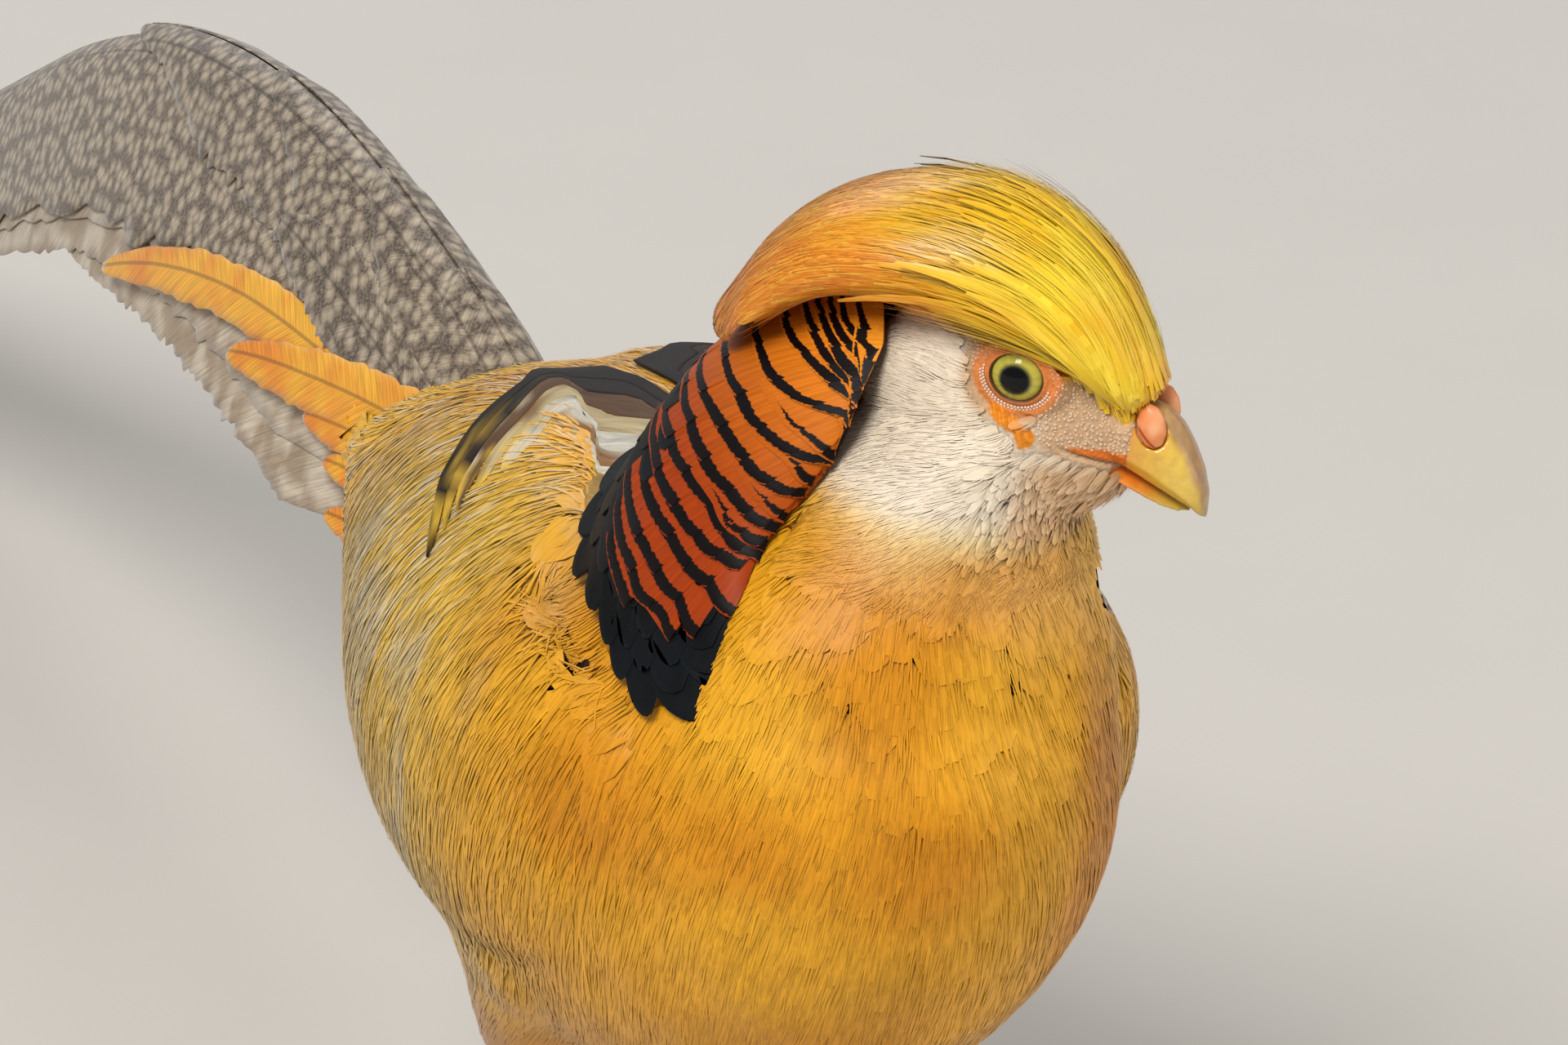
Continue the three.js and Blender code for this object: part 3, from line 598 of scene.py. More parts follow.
def markings(points):
    """The plumage's and the skin's colour at each point."""
    local = to_head(points)
    ahead, up = local[..., 0], local[..., 2]
    x, y, z = (points[..., i] / MM for i in range(3))
    along = y + 305
    lump = cloud(points, 26 * MM, 1)
    colour = mix(GOLD, AMBER, smooth(lump, 0.35, 0.8) * smooth(z, 110, 190))
    flank = smooth(np.abs(x), 22, 50) * smooth(along, -45, 5)
    colour = mix(colour, STRAW, 0.85 * flank)
    colour = mix(colour, ASH, 0.55 * flank * smooth(cloud(points * (1, 1, 0.45), 9 * MM, 2), 0.55, 0.8))
    # Painted shade: the lower body is darkened, as a belly in shadow.
    colour = mix(colour, SHADED_GOLD, 0.8 * smooth(z, 150, 100))
    rump = smooth(along, 60, 110) * smooth(z, 160, 180)
    colour = mix(colour, linear("#F0B624"), rump)
    near_head = smooth(np.linalg.norm(local - (2, 0, -20), axis=-1), 47, 27)
    below_beard = smooth(ahead, -14, 2) * smooth(up, -26, -34)
    colour = mix(colour, CREAM, near_head * (1 - 0.75 * below_beard))
    colour = mix(colour, CHEEK, smooth(up, -30, -23) * smooth(ahead, -42, -34))
    chin = smooth(ahead, 3, 10) * smooth(up, -13, -17) * smooth(up, -33, -27)
    # Partly painted light: the beard's tan is made paler than its own, for the underside that the lamps leave
    # in shade.
    colour = mix(colour, LIGHTENED_CHIN, chin)
    rim = up - gape_line(ahead)
    lores = smooth(ahead, 5.5, 9) * smooth(rim, -3.0, 0.0)
    colour = mix(colour, PINK_SKIN, lores)
    strip = smooth(ahead, 11.5, 14) * smooth(rim, 0.2, 0.5)
    strip = strip * smooth(rim, 0.9 + 0.28 * (ahead - 11), 0.5 + 0.28 * (ahead - 11))
    colour = mix(colour, linear("#E87A22"), strip)
    above = smooth(up - crest_edge(ahead), -0.3, 0.6) * smooth(ahead, -2, 3)
    colour = mix(colour, linear("#E9B41C"), above)
    ring = orbit(local)
    colour = mix(colour, PINK_SKIN, smooth(ring, 11.5, 9.5) * (1 - above))
    colour = mix(colour, ORANGE_SKIN, smooth(ring, 9.2, 8.0))
    return mix(colour, WATTLE, smooth(wattle(local), 0.25, 0.6))


def wattle(local):
    """1 in the middle of the small folded wattle under the eye, and 0 outside it."""
    x, z = local[..., 0], local[..., 2]
    ragged = 0.5 * (cloud(local, 1.6, 5) - 0.5)
    fold = np.hypot((x - 1.4) / 5.6, (z + 7.1 + 0.38 * x) / 1.9)
    flap = np.hypot((x - 4.8) / 2.4, (z + 10.2) / 2.9)
    return np.clip(1.25 + ragged - np.minimum(fold, flap), 0, 1)


def flow_of_body(points):
    """The lie of the body's coat: down the breast, back along flanks and back, down over the wings."""
    along = points[..., 1] / MM + 305
    x, z = points[..., 0] / MM, points[..., 2] / MM
    side = smooth(np.abs(x), 18, 42)
    hang = 0.45 + 2.2 * side * smooth(along, -60, -10) * smooth(z, 120, 175)
    hang = hang + 1.2 * smooth(along, 0, -80) * smooth(z, 110, 150)
    hang = hang + 1.2 * smooth(z, 190, 225) * smooth(along, -20, -60)
    hang = hang * smooth(along, 125, 60) + 0.3
    wander = cloud(points, 30 * MM, 5) - 0.5
    return np.stack([0.25 * wander, np.ones_like(x) - 0.3 * side, -hang], -1)


# Settings that a user would change


def length(name, description, value):
    return FloatProperty(
        name=name, description=description, default=value * MM, min=0, unit="LENGTH", precision=5
    )


def tint(name, description, colour):
    return FloatVectorProperty(
        name=name, description=description, default=tuple(linear(colour)), subtype="COLOR", min=0, max=1
    )


class SkinSettings(bpy.types.PropertyGroup):
    grain: length("Grain", "Size of the skin's faces", 1.9)
    depth: length("Coat depth", "How far the skin lies inside the body's plumage", 3.4)
    face_depth: length("Face coat depth", "How far the skin lies inside the face's bristles", 1.1)


class EyeSettings(bpy.types.PropertyGroup):
    iris: tint("Iris", "Green-yellow of the iris", "#C3B348")
    iris_radius: length("Iris radius", "Outer edge of the iris", 5.1)
    pupil_radius: length("Pupil radius", "Edge of the pupil", 2.75)


class BillSettings(bpy.types.PropertyGroup):
    horn: tint("Horn", "Yellow-olive of the bill", "#DCAC3C")
    cere: tint("Cere", "Pink-orange of the fleshy nostril flaps", "#E6884E")


class FaceSettings(bpy.types.PropertyGroup):
    spacing: length("Spacing", "Distance between bristle roots", 0.95)
    bristle: length("Bristle", "Length of a cheek bristle", 5.5)


class CrestSettings(bpy.types.PropertyGroup):
    spacing: length("Spacing", "Distance between plume roots", 1.25)
    plume: length("Plume", "Length of a crest plume", 36.0)
    gold: tint("Gold", "Front and top of the crest", "#F9BE10")
    orange: tint("Orange", "Rear and lower edge of the crest", "#E07C0C")


class CapeSettings(bpy.types.PropertyGroup):
    feather: length("Feather", "Length of one cape feather", 26.0)


class BodySettings(bpy.types.PropertyGroup):
    spacing: length("Spacing", "Distance between feather roots", 4.6)
    feather: length("Feather", "Length of a breast feather", 18.0)
    wisp_spacing: length("Wisp spacing", "Distance between loose barbs", 1.8)
    wisp: length("Wisp", "Length of a loose barb", 14.0)


class TailSettings(bpy.types.PropertyGroup):
    spot: length("Spot", "Distance between the pale spots of the marbled feathers", 4.0)


class LegSettings(bpy.types.PropertyGroup):
    scale: length("Scale", "Height of one scute on the front of the shank", 3.2)
    horn: tint("Scale colour", "Yellow-olive of the leg's scales", "#B79C4C")
    claw: tint("Claw colour", "Brown horn of the claws", "#6A5638")


class StageSettings(bpy.types.PropertyGroup):
    floor: tint("Floor", "Plain pale floor", "#CFC8BE")
    lens: FloatProperty(
        name="Lens", description="Focal length on a 36 mm sensor", default=231.56, subtype="DISTANCE_CAMERA"
    )


# Skin

REDDER_INSIDE = (1.0, 0.4, 0.2)  # how far red, green and blue light spread in flesh, as shares


def relief_of_face(local):
    """How far out from the head's middle the skin lies around the eye, and where that holds."""
    ring = orbit(local)
    knots = [0.0, 4.2, 4.7, 5.0, 5.35, 5.8, 6.15, 6.45, 6.8, 7.6, 9.0]
    heights = [8.0, 10.6, 12.1, 13.0, 13.1, 12.6, 12.3, 12.65, 12.3, 12.35, 12.0]
    return np.interp(ring, knots, heights), smooth(ring, 10.5, 8.0)


def gape_line(x):
    """Height of the slit of the mouth along the side of the head."""
    return -11.6 - 0.24 * (x - 11)


def sleeve(local):
    """Draws the skin in round the base of the bill, a little proud of the horn, and then down inside it."""
    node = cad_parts["bill_upper"].data
    horn = BVHTree.FromPolygons([v.co[:] for v in node.vertices], [p.vertices[:] for p in node.polygons])
    zone = (local[:, 0] > 15) & (local[:, 0] < 29) & (local[:, 2] > -17) & (local[:, 2] < 2)
    for i in np.flatnonzero(zone):
        x, y, z = local[i]
        side = 1 if y > 0 else -1
        place = horn.ray_cast(Vector(from_head((x, side * 30, z))), Vector(turned((0, -side, 0))))[0]
        tucked = smooth(x, 20.5, 22.5)
        if place is None:
            local[i, 1] = y * (1 - 0.8 * tucked)
            continue
        wanted = abs(to_head(np.array(place))[1]) + 0.35 - 1.5 * smooth(x, 23.0, 24.6)
        local[i, 1] = side * (max(abs(y), wanted) * (1 - tucked) + wanted * tucked)
    return local


def sculpt_face(points):
    """Lids, orbital ring, wattle, gape and the pebbled skin of the lores."""
    local = sleeve(to_head(points))
    x, z = local[:, 0], local[:, 2]
    side = np.sign(local[:, 1])
    out = np.abs(local[:, 1])
    level, share = relief_of_face(local)
    share = share * (out > 4)
    beaded = cloud(points, 0.9 * MM, 8) - 0.5
    level = level + 0.25 * beaded * smooth(orbit(local), 5.8, 6.6)
    moved = out * (1 - share) + level * share
    folds = wattle(local) * (out > 4)
    wave = np.sin(3.4 * x + 1.9 * z + 4 * cloud(points, 2.5 * MM, 3))
    moved = moved + folds * (0.7 + 0.5 * wave)
    gape = np.exp(-(((z - gape_line(x)) / 0.45) ** 2))
    moved = moved - 0.8 * gape * smooth(x, 10, 12.5) * (out > 3)
    lores = smooth(x, 6, 9) * smooth(z, -12, -11) * smooth(z, 6, 1)
    moved = moved + 0.35 * lores * (1 - share) * beaded
    local[:, 1] = side * moved
    return from_head(local)


def refine(made, zone):
    """Splits the faces whose middle lies in the zone of the head's frame."""
    shape = bmesh.new()
    shape.from_mesh(made.data)
    shape.faces.ensure_lookup_table()
    middles = to_head(np.array([f.calc_center_median()[:] for f in shape.faces]))
    edges = {e for i in np.flatnonzero(zone(middles)) for e in shape.faces[i].edges}
    bmesh.ops.subdivide_edges(shape, edges=list(edges), cuts=1, use_grid_fill=True, smooth=0.6)
    shape.to_mesh(made.data)
    shape.free()


def mound(shape, middle, radii):
    """Adds an ellipsoid of the head's frame to a shape."""
    axes = HEAD_AXES.T * np.array(radii) * MM
    place = from_head(middle)
    matrix = Matrix([[*axes[i], place[i]] for i in range(3)] + [[0, 0, 0, 1]])
    bmesh.ops.create_uvsphere(shape, u_segments=32, v_segments=20, radius=1, matrix=matrix)


def swell(shape):
    """Adds the rounding of the head round the eyes and over the base of the bill."""
    for _, side in SIDES:
        mound(shape, (EYE_AHEAD, side * 7.2, EYE_UP - 0.6), (9.8, 6.2, 9.2))
    mound(shape, (15.5, 0, -7.0), (12.0, 9.2, 8.2))


def face_zone(local):
    """The face, whose skin has finer faces than the body's."""
    x, z = local[:, 0], local[:, 2]
    return (x > -16) & (x < 26) & (z > -28) & (z < 12)


def lid_and_gape_zone(local):
    x, z = local[:, 0], local[:, 2]
    return (orbit(local) < 14) | ((x > 0) & (x < 24) & (np.abs(z + 9) < 9))


def lid_zone(local):
    return orbit(local) < 9


def make_skin(settings):
    made = smoothed("skin", FLESH, settings.grain, 12, swollen=True)
    mesh = made.data
    points = read(mesh)
    local = to_head(points)
    on_head = smooth(local[:, 2], -42, -28) * smooth(local[:, 0], -45, -32)
    depth = settings.depth * (1 - on_head) + settings.face_depth * on_head
    points = points - read(mesh, "normal") * depth[:, None]
    mesh.vertices.foreach_set("co", points.ravel())
    for zone in (face_zone, lid_and_gape_zone, lid_zone):
        refine(made, zone)
    points = sculpt_face(read(mesh))
    mesh.vertices.foreach_set("co", points.ravel())
    mesh.update()
    colours = markings(points)
    local = to_head(points)
    x, z = local[:, 0], local[:, 2]
    lid = smooth(np.abs(orbit(local) - 4.95), 0.4, 0.15)
    shaded_crease = smooth(np.abs(orbit(local) - 6.1), 0.3, 0.1) * smooth(z, 1, -2)
    shaded_slit = smooth(np.abs(z - gape_line(x)), 0.35, 0.1) * smooth(x, 11.5, 14)
    # Painted shade: the crease under the eye and the slit of the mouth are darkened; the dark lid rim is the
    # skin's own colour.
    colours = mix(colours, linear("#33231A"), np.clip(0.92 * lid + 0.45 * shaded_crease + 0.7 * shaded_slit, 0, 1))
    material, tree, shader, colour = coloured(
        "living_skin", Roughness=0.5, Subsurface_Weight=0.15, Subsurface_Scale=1.5 * MM, IOR=1.4
    )
    # Skin is soft and slightly moist, so light scatters in it and its fine pebbling catches small glints.
    shader.inputs["Subsurface Radius"].default_value = REDDER_INSIDE
    place = add(tree, "NewGeometry").outputs["Position"]
    pebble = add(tree, "TexVoronoi", {"Vector": place, "Scale": 1 / (0.7 * MM)}).outputs["Distance"]
    grained(tree, shader, colour, pebble, (0.0, 0.8), (1.08, 0.78), 0.6, 0.15, invert=True)
    dress_evenly(made, colours, round_body(points), material)
    placed(made, FLESH)
    return made


def make_papillae(skin):
    """Rows of tiny pale papillae along the lids and pebbled patches behind the eye and on the lores."""
    tree = BVHTree.FromObject(skin, bpy.context.evaluated_depsgraph_get())
    rng = np.random.default_rng(4)
    spots = []
    rings = [(6.4, 0.66, 176, 350, 0.27, 0), (7.0, 0.7, 186, 345, 0.27, 0)]
    rings += [(ring, 0.95, 15, 172, 0.28, 1) for ring in (6.9, 7.8, 8.7)]
    for ring, step, first, last, size, kind in rings:
        for turn in np.arange(math.radians(first), math.radians(last), step / ring):
            across, up = ring * 1.04 * math.cos(turn), ring * 0.97 * math.sin(turn)
            spots.append((EYE_AHEAD + across, EYE_UP + up, size, kind))
    grid = rng.uniform((-14, -12), (24, 9), (2200, 2))
    cell = np.unique(np.floor(grid / 0.85), axis=0, return_index=True)[1]
    for x, z in grid[cell]:
        behind = math.hypot((x + 7.6) / 3.6, (z - 5.0) / 3.6) < 1
        lores = x > 6.5 and -11.0 < z < crest_edge(x) - 0.5
        if (behind or lores) and math.hypot(x - EYE_AHEAD, z - EYE_UP) > 8.0:
            spots.append((x, z, 0.3 + 0.1 * rng.random(), 2))
    beads = []
    for (x, z, size, kind), (_, side) in itertools.product(spots, SIDES):
        start = from_head((x, side * 40, z))
        place, normal, _, _ = tree.ray_cast(Vector(start), Vector(turned((0, -side, 0))))
        if place is not None:
            beads.append((*place, *normal, size * MM, kind))
    beads = np.array(beads)
    centres, kinds = beads[:, :3], beads[:, 7]
    pale = mix(linear("#EFD9C4"), linear("#E2A882"), (kinds == 1).astype(float))
    of_skin = mix(markings(centres), linear("#E8CDB4"), np.full(len(kinds), 0.5))
    pale = mix(pale, of_skin, (kinds == 2).astype(float))
    coat = Coat()
    coat.beads(centres, beads[:, 3:6], beads[:, 6], pale, round_head(centres))
    material = coloured("papillae_skin", Roughness=0.4, Subsurface_Weight=0.1, IOR=1.4)[0]
    # Each papilla is a bead of smooth skin, a little shinier than the skin round it.
    coat.build("papillae", material, "face")


# Eyes


def make_eye(settings, material, word, side):
    """An eyeball with a domed cornea, whose iris and pupil are coloured by their distance from the gaze."""
    shape = bmesh.new()
    bmesh.ops.create_uvsphere(shape, u_segments=96, v_segments=72, radius=1)
    mesh = bpy.data.meshes.new("eye_" + word)
    shape.to_mesh(mesh)
    shape.free()
    ball = read(mesh)
    away = np.arccos(np.clip(ball[:, 2], -1, 1))
    ring = EYE_BALL * np.sin(np.minimum(away, math.pi / 2))
    dome = 1 + 0.05 * smooth(ring, 5.2, 0)
    local = ball * EYE_BALL * dome[:, None]
    local = np.stack([local[:, 0], side * local[:, 2], side * local[:, 1]], -1)
    local = local + (EYE_AHEAD, side * EYE_OUT, EYE_UP)
    turn = np.arctan2(ball[:, 1], ball[:, 0])
    fibre = cloud(np.stack([9 * np.cos(turn), 9 * np.sin(turn), 0.5 * ring], -1), 1.0, 6)
    iris = mix(np.array(settings.iris), linear("#8E9440"), 0.7 * smooth(fibre, 0.4, 0.9))
    r_iris, r_pupil = settings.iris_radius / MM, settings.pupil_radius / MM
    iris = mix(iris, linear("#5C5A34"), smooth(ring, r_pupil + 0.9, r_pupil + 0.05))
    iris = mix(iris, linear("#4B4A22"), smooth(ring, r_iris - 0.45, r_iris - 0.05))
    colours = mix(iris, linear("#020202"), smooth(ring, r_pupil + 0.3, r_pupil - 0.2))
    colours = mix(colours, linear("#120D0A"), smooth(ring, r_iris - 0.1, r_iris + 0.1))
    if side < 0:
        mesh.flip_normals()
    mesh.vertices.foreach_set("co", from_head(local).ravel())
    made = new_object("eye_ball_" + word, mesh)
    dress_evenly(made, colours, 0.5 + 0.48 * ball[:, :2], material)
    placed(made, ["eye_" + word])


def make_eyes(settings):
    material = coloured(
        "wet_eye", Roughness=0.5, Specular_IOR_Level=0.0, Coat_Weight=0.9, Coat_Roughness=0.02, Coat_IOR=1.34
    )[0]
    # A cornea is a film of water over a clear dome, so the eye has one small sharp highlight.
    for word, side in SIDES:
        make_eye(settings, material, word, side)


# Bill


def bill_colour(points, horn):
    local = to_head(points)
    x, z = local[:, 0], local[:, 2]
    colour = mix(horn, linear("#DF9038"), 0.85 * smooth(x, 30, 20))
    edge = smooth(z + 0.35 * (x - 10), -9.6, -11.2) * smooth(x, 35, 24)
    colour = mix(colour, linear("#EA7E22"), 0.9 * edge)
    top = np.interp(x, [10, 21, 28.8, 33.8, 38, 40.2], [-1, 0, -1.6, -6.8, -14, -21.5])
    culmen = smooth(top - z, 3.2, 0.8) * smooth(x, 17, 26)
    colour = mix(colour, linear("#8E5F3E"), 0.8 * culmen * (0.6 + 0.5 * cloud(points, 1.5 * MM, 2)))
    colour = mix(colour, linear("#B98F6A"), 0.3 * culmen * smooth(x, 30, 36))
    tip = smooth(z, -15, -21)
    colour = mix(colour, linear("#E0C258"), 0.5 * smooth(x, 28, 34) * (1 - culmen))
    return mix(colour, linear("#A58A3C"), 0.5 * tip)


def cere_colour(points, cere):
    """Orange-pink, paler on its swelling, with painted shade for the slit of the nostril along its lower rear
    edge.
    """
    local = to_head(points) - to_head(centre("nostril_flap_right"))
    colour = mix(cere, linear("#F0A06A"), smooth(cloud(points, 2.2 * MM, 3), 0.3, 0.8))
    swelling = np.hypot((local[:, 0] - 0.8) / 1.4, (local[:, 2] - 0.4) / 2.2)
    colour = mix(colour, linear("#F3BE8C"), 0.6 * smooth(swelling, 1.2, 0.2))
    # Painted shade: a dark line where the nostril opens under the flap.
    shaded_slit = np.abs(local[:, 2] + 2.3 + 0.89 * local[:, 0])
    return mix(colour, linear("#8E340C"), 0.9 * smooth(shaded_slit, 0.55, 0.2) * smooth(local[:, 0], -2.6, -1.9))


def make_bill(settings):
    horn, cere = np.array(settings.horn), np.array(settings.cere)
    finish = {"Roughness": 0.27, "Coat_Weight": 0.35, "Coat_Roughness": 0.12, "IOR": 1.54}
    material, tree, shader, colour = coloured("beak_horn", **finish)
    # Horn grows in thin layers and is polished by use, so it is glossy with faint lines of growth.
    place = add(tree, "NewGeometry").outputs["Position"]
    lines = add(tree, "TexNoise", {"Vector": place, "Scale": 1 / (1.6 * MM), "Detail": 4.0}).outputs["Fac"]
    grained(tree, shader, colour, lines, (0.3, 0.7), (0.9, 1.08), 0.15, 0.1)
    for half in ("upper", "lower"):
        made = smoothed("beak_" + half, ["bill_" + half], 0.45 * MM, 6)
        points = read(made.data)
        dress_evenly(made, bill_colour(points, horn), round_head(points), material)
        placed(made, ["bill_" + half])
    finish = {"Roughness": 0.38, "Subsurface_Weight": 0.2, "Subsurface_Scale": 1.2 * MM}
    flesh, _, shader, _ = coloured("cere_skin", **finish)
    # The flap over the nostril is bare, slightly waxy skin, soft at its edges.
    shader.inputs["Subsurface Radius"].default_value = REDDER_INSIDE
    for word, _ in SIDES:
        made = smoothed("cere_" + word, ["nostril_flap_" + word], 0.35 * MM, 5)
        points = read(made.data)
        dress_evenly(made, cere_colour(points, cere), round_head(points), flesh)
        placed(made, ["nostril_flap_" + word])


# Face


def tufts(
    coat, form, roots, flow, lengths, rows, half, depth, rise, paint, unwrap,
    columns=3, seed=0, crown=0.3, stray=0.1,
):
    """Tapered tufts that lie along the form: depth under it at their roots, rise over it at their tips."""
    rng = np.random.default_rng(seed)
    astray = rng.normal(0, stray, roots.shape)
    spine, up = trace(form, roots, lambda p: unit(flow(p)) + astray, lengths, rows)
    u = np.linspace(0, 1, rows)
    rise, depth = (np.broadcast_to(value, len(roots))[:, None] for value in (rise, depth))
    lift = -depth * (1 - u) ** 1.4 + rise * u * rng.uniform(0.4, 1.3, (len(roots), 1))
    spine = spine + up * lift[..., None]
    width = half * np.sqrt(np.clip(1 - (0.96 * u) ** 2.2, 0, 1)) * np.minimum(1, 0.45 + 3 * u)
    width = width[None] * rng.uniform(0.75, 1.25, (len(roots), 1))
    coat.vanes(spine, up, width, paint, unwrap(roots), columns=columns, crown=crown)


def flow_of_face(points):
    """Bristles fan back and down from the eye and the gape."""
    local = to_head(points)
    fan = local - (12, 0, -2)
    way = np.stack([fan[..., 0] - 14, 0 * fan[..., 0], 1.1 * fan[..., 2] - 3], -1)
    chin = smooth(local[..., 0], 2, 12)[..., None]
    way = unit(way) * (1 - chin) + np.array([-0.75, 0, -0.55]) * chin
    return turned(way + 0.5 * (clumps(points, 5 * MM) - 0.5))


def clumps(points, size):
    """Three soft noises for each point, which gather tufts into clumps."""
    return np.stack([cloud(points, size, 11 + i) for i in range(3)], -1)


def chin(local):
    """How far each point lies on the beard below the bill."""
    x, z = local[:, 0], local[:, 2]
    return smooth(x, 0, 6) * smooth(z, -11, -14) * smooth(z, -34, -27)


def make_face(settings):
    form = Form(["head", "neck"], 1.2 * MM, 20, swollen=True)

    def keep(points):
        local = to_head(points)
        bare = (orbit(local) < 9.0) | (wattle(local) > 0.25)
        x, z = local[:, 0], local[:, 2]
        bare |= (x > 6.5) & (z > gape_line(x) - 1.0 - 1.5 * smooth(x, 12, 6))
        bare |= np.hypot((x + 7.6) / 3.4, (z - 5.0) / 3.4) < 1
        return ~bare & (z > -38) & (z < 13) & (x > -34) & (x < 28)

    rng = np.random.default_rng(22)
    # Bristles are short, stiff keratin with hardly any gloss.
    material = barbs("keratin_bristles", spacing=0.35, run=5.0, dark=0.12, relief=0.15, Roughness=0.55)
    layers = (
        ("face_down", 1.7, 8.0, 1.2, 0.6, 0.0, 5, 3),
        ("face_bristles", settings.spacing / MM, settings.bristle / MM, 0.14, 0.15, 0.35, 4, 3),
    )
    for name, spacing, reach, half, depth, rise, rows, columns in layers:
        coat = Coat()
        roots = form.scatter(spacing * MM, 21 + rows, keep)
        beard = chin(to_head(roots))
        close = smooth(orbit(to_head(roots)), 15, 9)
        lengths = reach * MM * (1 - 0.45 * close - 0.35 * beard) * rng.uniform(0.75, 1.25, len(roots))
        each = (len(roots), 1, 1, 1)
        shade = rng.uniform(0.94, 1.04, each)
        shade = shade - 0.12 * beard.reshape(each) * rng.random(each)

        def paint(points, u, v):
            colour = markings(points)
            tip = 0.45 * u * (0.4 + 0.6 * beard[:, None, None]) * smooth(to_head(points)[..., 2], -34, -22)
            return mix(colour, linear("#F0E0C6"), tip) * shade

        tufts(
            coat, form, roots, flow_of_face, lengths, rows, half * MM, depth * MM, (rise + 1.1 * beard) * MM,
            paint, round_head, columns=columns, seed=23, crown=0.15, stray=0.08,
        )
        coat.build(name, material, "face", satin=0.94)


# Crest


def flow_of_crest(points):
    """Up from the forehead, back over the crown and down behind the nape."""
    local = to_head(points)
    arm = local - (-12, 0, -12)
    arc = unit(np.stack([-arm[..., 2], 0 * arm[..., 0], arm[..., 0]], -1))
    way = 0.75 * arc + smooth(local[..., 0], 22, -2)[..., None] * np.array([-0.5, 0, 0])
    return turned(way + 0.12 * (clumps(points, 9 * MM) - 0.5))


def crest_edge(x):
    """Height of the crest's lower edge on the side of the head."""
    knots = [-60, -56, -50, -42, -33, -22, -10, 0, 5, 9, 14, 18, 22, 25, 27.5]
    heights = [-13, -4, 3.5, 9, 11.5, 9.5, 8.5, 9.5, 7, 3.8, 0, -3.2, -5, -2.5, 1.5]
    return np.interp(x, knots, heights)


def make_crest(settings):
    form = Form(["crest", "head"], 1.2 * MM, 8, swollen=True)
    shell = Form(["crest"], 1.2 * MM, 8)
    gold, orange = np.array(settings.gold), np.array(settings.orange)

    def keep(points):
        local = to_head(points)
        return local[:, 2] > crest_edge(local[:, 0]) + 0.6 * (cloud(points, 2 * MM, 3) - 0.5)

    def hue(points):
        local = to_head(points)
        x, z = local[..., 0], local[..., 2]
        rear = smooth(x, -6, -50) * 0.8 + smooth(z - crest_edge(x), 16, 2) * smooth(x, 6, -20) * 0.5
        rear = rear + 0.5 * (cloud(points * (1, 1, 1.6), 11 * MM, 4) - 0.45)
        # Painted shade: over the midline at the front the crest turns orange, as its far side in shade.
        edge = smooth(np.abs(local[..., 1]), 3.5, 0) * smooth(x, 14, 24) * 0.8
        colour = mix(gold, orange, np.clip(rear + edge, 0, 1))
        # Brighter yellow lumps towards the front: partly the crest's own yellow, partly painted highlights.
        bright_and_highlit = smooth(x, -22, 6) * smooth(cloud(points, 8 * MM, 9), 0.35, 0.75)
        return mix(colour, linear("#FFE22E"), 0.6 * bright_and_highlit)

    def shaded(points):
        return hue(points) * 0.8

    def over_nape(points):
        return to_head(points)[:, 0] < 6

    def over_forehead(points):
        return keep(points) & (to_head(points)[:, 0] > 0)

    def tucked_up(points):
        local = to_head(points)
        edge = crest_edge(local[:, 0]) + 1.5
        local[:, 2] = np.where(local[:, 2] < edge, edge + 0.12 * (local[:, 2] - edge), local[:, 2])
        return from_head(local)

    def sink(points):
        local = to_head(points)
        edge = smooth(local[:, 2] - crest_edge(local[:, 0]), 4.5, 0.5)
        return (0.9 - 1.7 * smooth(local[:, 0], 4, 18) * (1 - edge) + 0.8 * edge) * MM

    rng = np.random.default_rng(31)
    # The crest's barbs have no hooks, so they lie side by side like silk, with long soft highlights.
    material = barbs(
        "keratin_silky_plumes", spacing=0.35, run=16.0, dark=0.16, relief=0.25,
        Roughness=0.34, Sheen_Weight=0.1,
    )
    layers = (
        ("crest_down", 2.2, 1.2, 0.9, 0.1, 1.0, 8),
        ("crest_plumes", settings.spacing / MM, 0.17, 0.35, 0.3, 1.1, 7),
    )
    for name, spacing, half, depth, rise, reach, rows in layers:
        coat = Coat()
        down = name == "crest_down"
        if down:
            coat.bed(shell, 1.6 * MM, shaded, round_head, tucked_up, over_nape)
            coat.bed(form, sink, shaded, round_head, keep=over_forehead)
        roots = form.scatter(spacing * MM, 32 + rows, keep)
        local = to_head(roots)
        lengths = settings.plume * reach * np.clip(0.5 + (local[:, 0] + 60) / 90, 0.3, 1)
        lengths = lengths * rng.uniform(0.7, 1.1, len(roots))
        tone = rng.normal(0, 1, (len(roots), 1, 1))

        def paint(points, u, v):
            colour = hue(points)
            light = np.clip(tone, -1, 1.5) * np.ones(points.shape[:-1])
            colour = mix(colour, linear("#FFE95A"), 0.25 * np.clip(light, 0, 1))
            return colour * (1 + 0.1 * np.clip(light, -1, 0))[..., None]

        stray = rng.random(len(roots)) > 0.985
        front = smooth(local[:, 0], 4, 18) * smooth(local[:, 2] - crest_edge(local[:, 0]), -0.5, 4)
        lift = np.where(stray & (local[:, 0] > 0), 2.2, rise) + (2.4, 1.8)[down] * front
        sunk = depth - (depth + 1.0) * front
        tufts(
            coat, form, roots, flow_of_crest, lengths, rows, half * MM, sunk * MM, lift * MM,
            paint, round_head, seed=33, crown=0.2, stray=0.04,
        )
        coat.build(name, material, "crest_plumes", ["crest"] if down else [], satin=0.85)


# Cape and mantle

CAPE_SWEEP = math.radians(132)


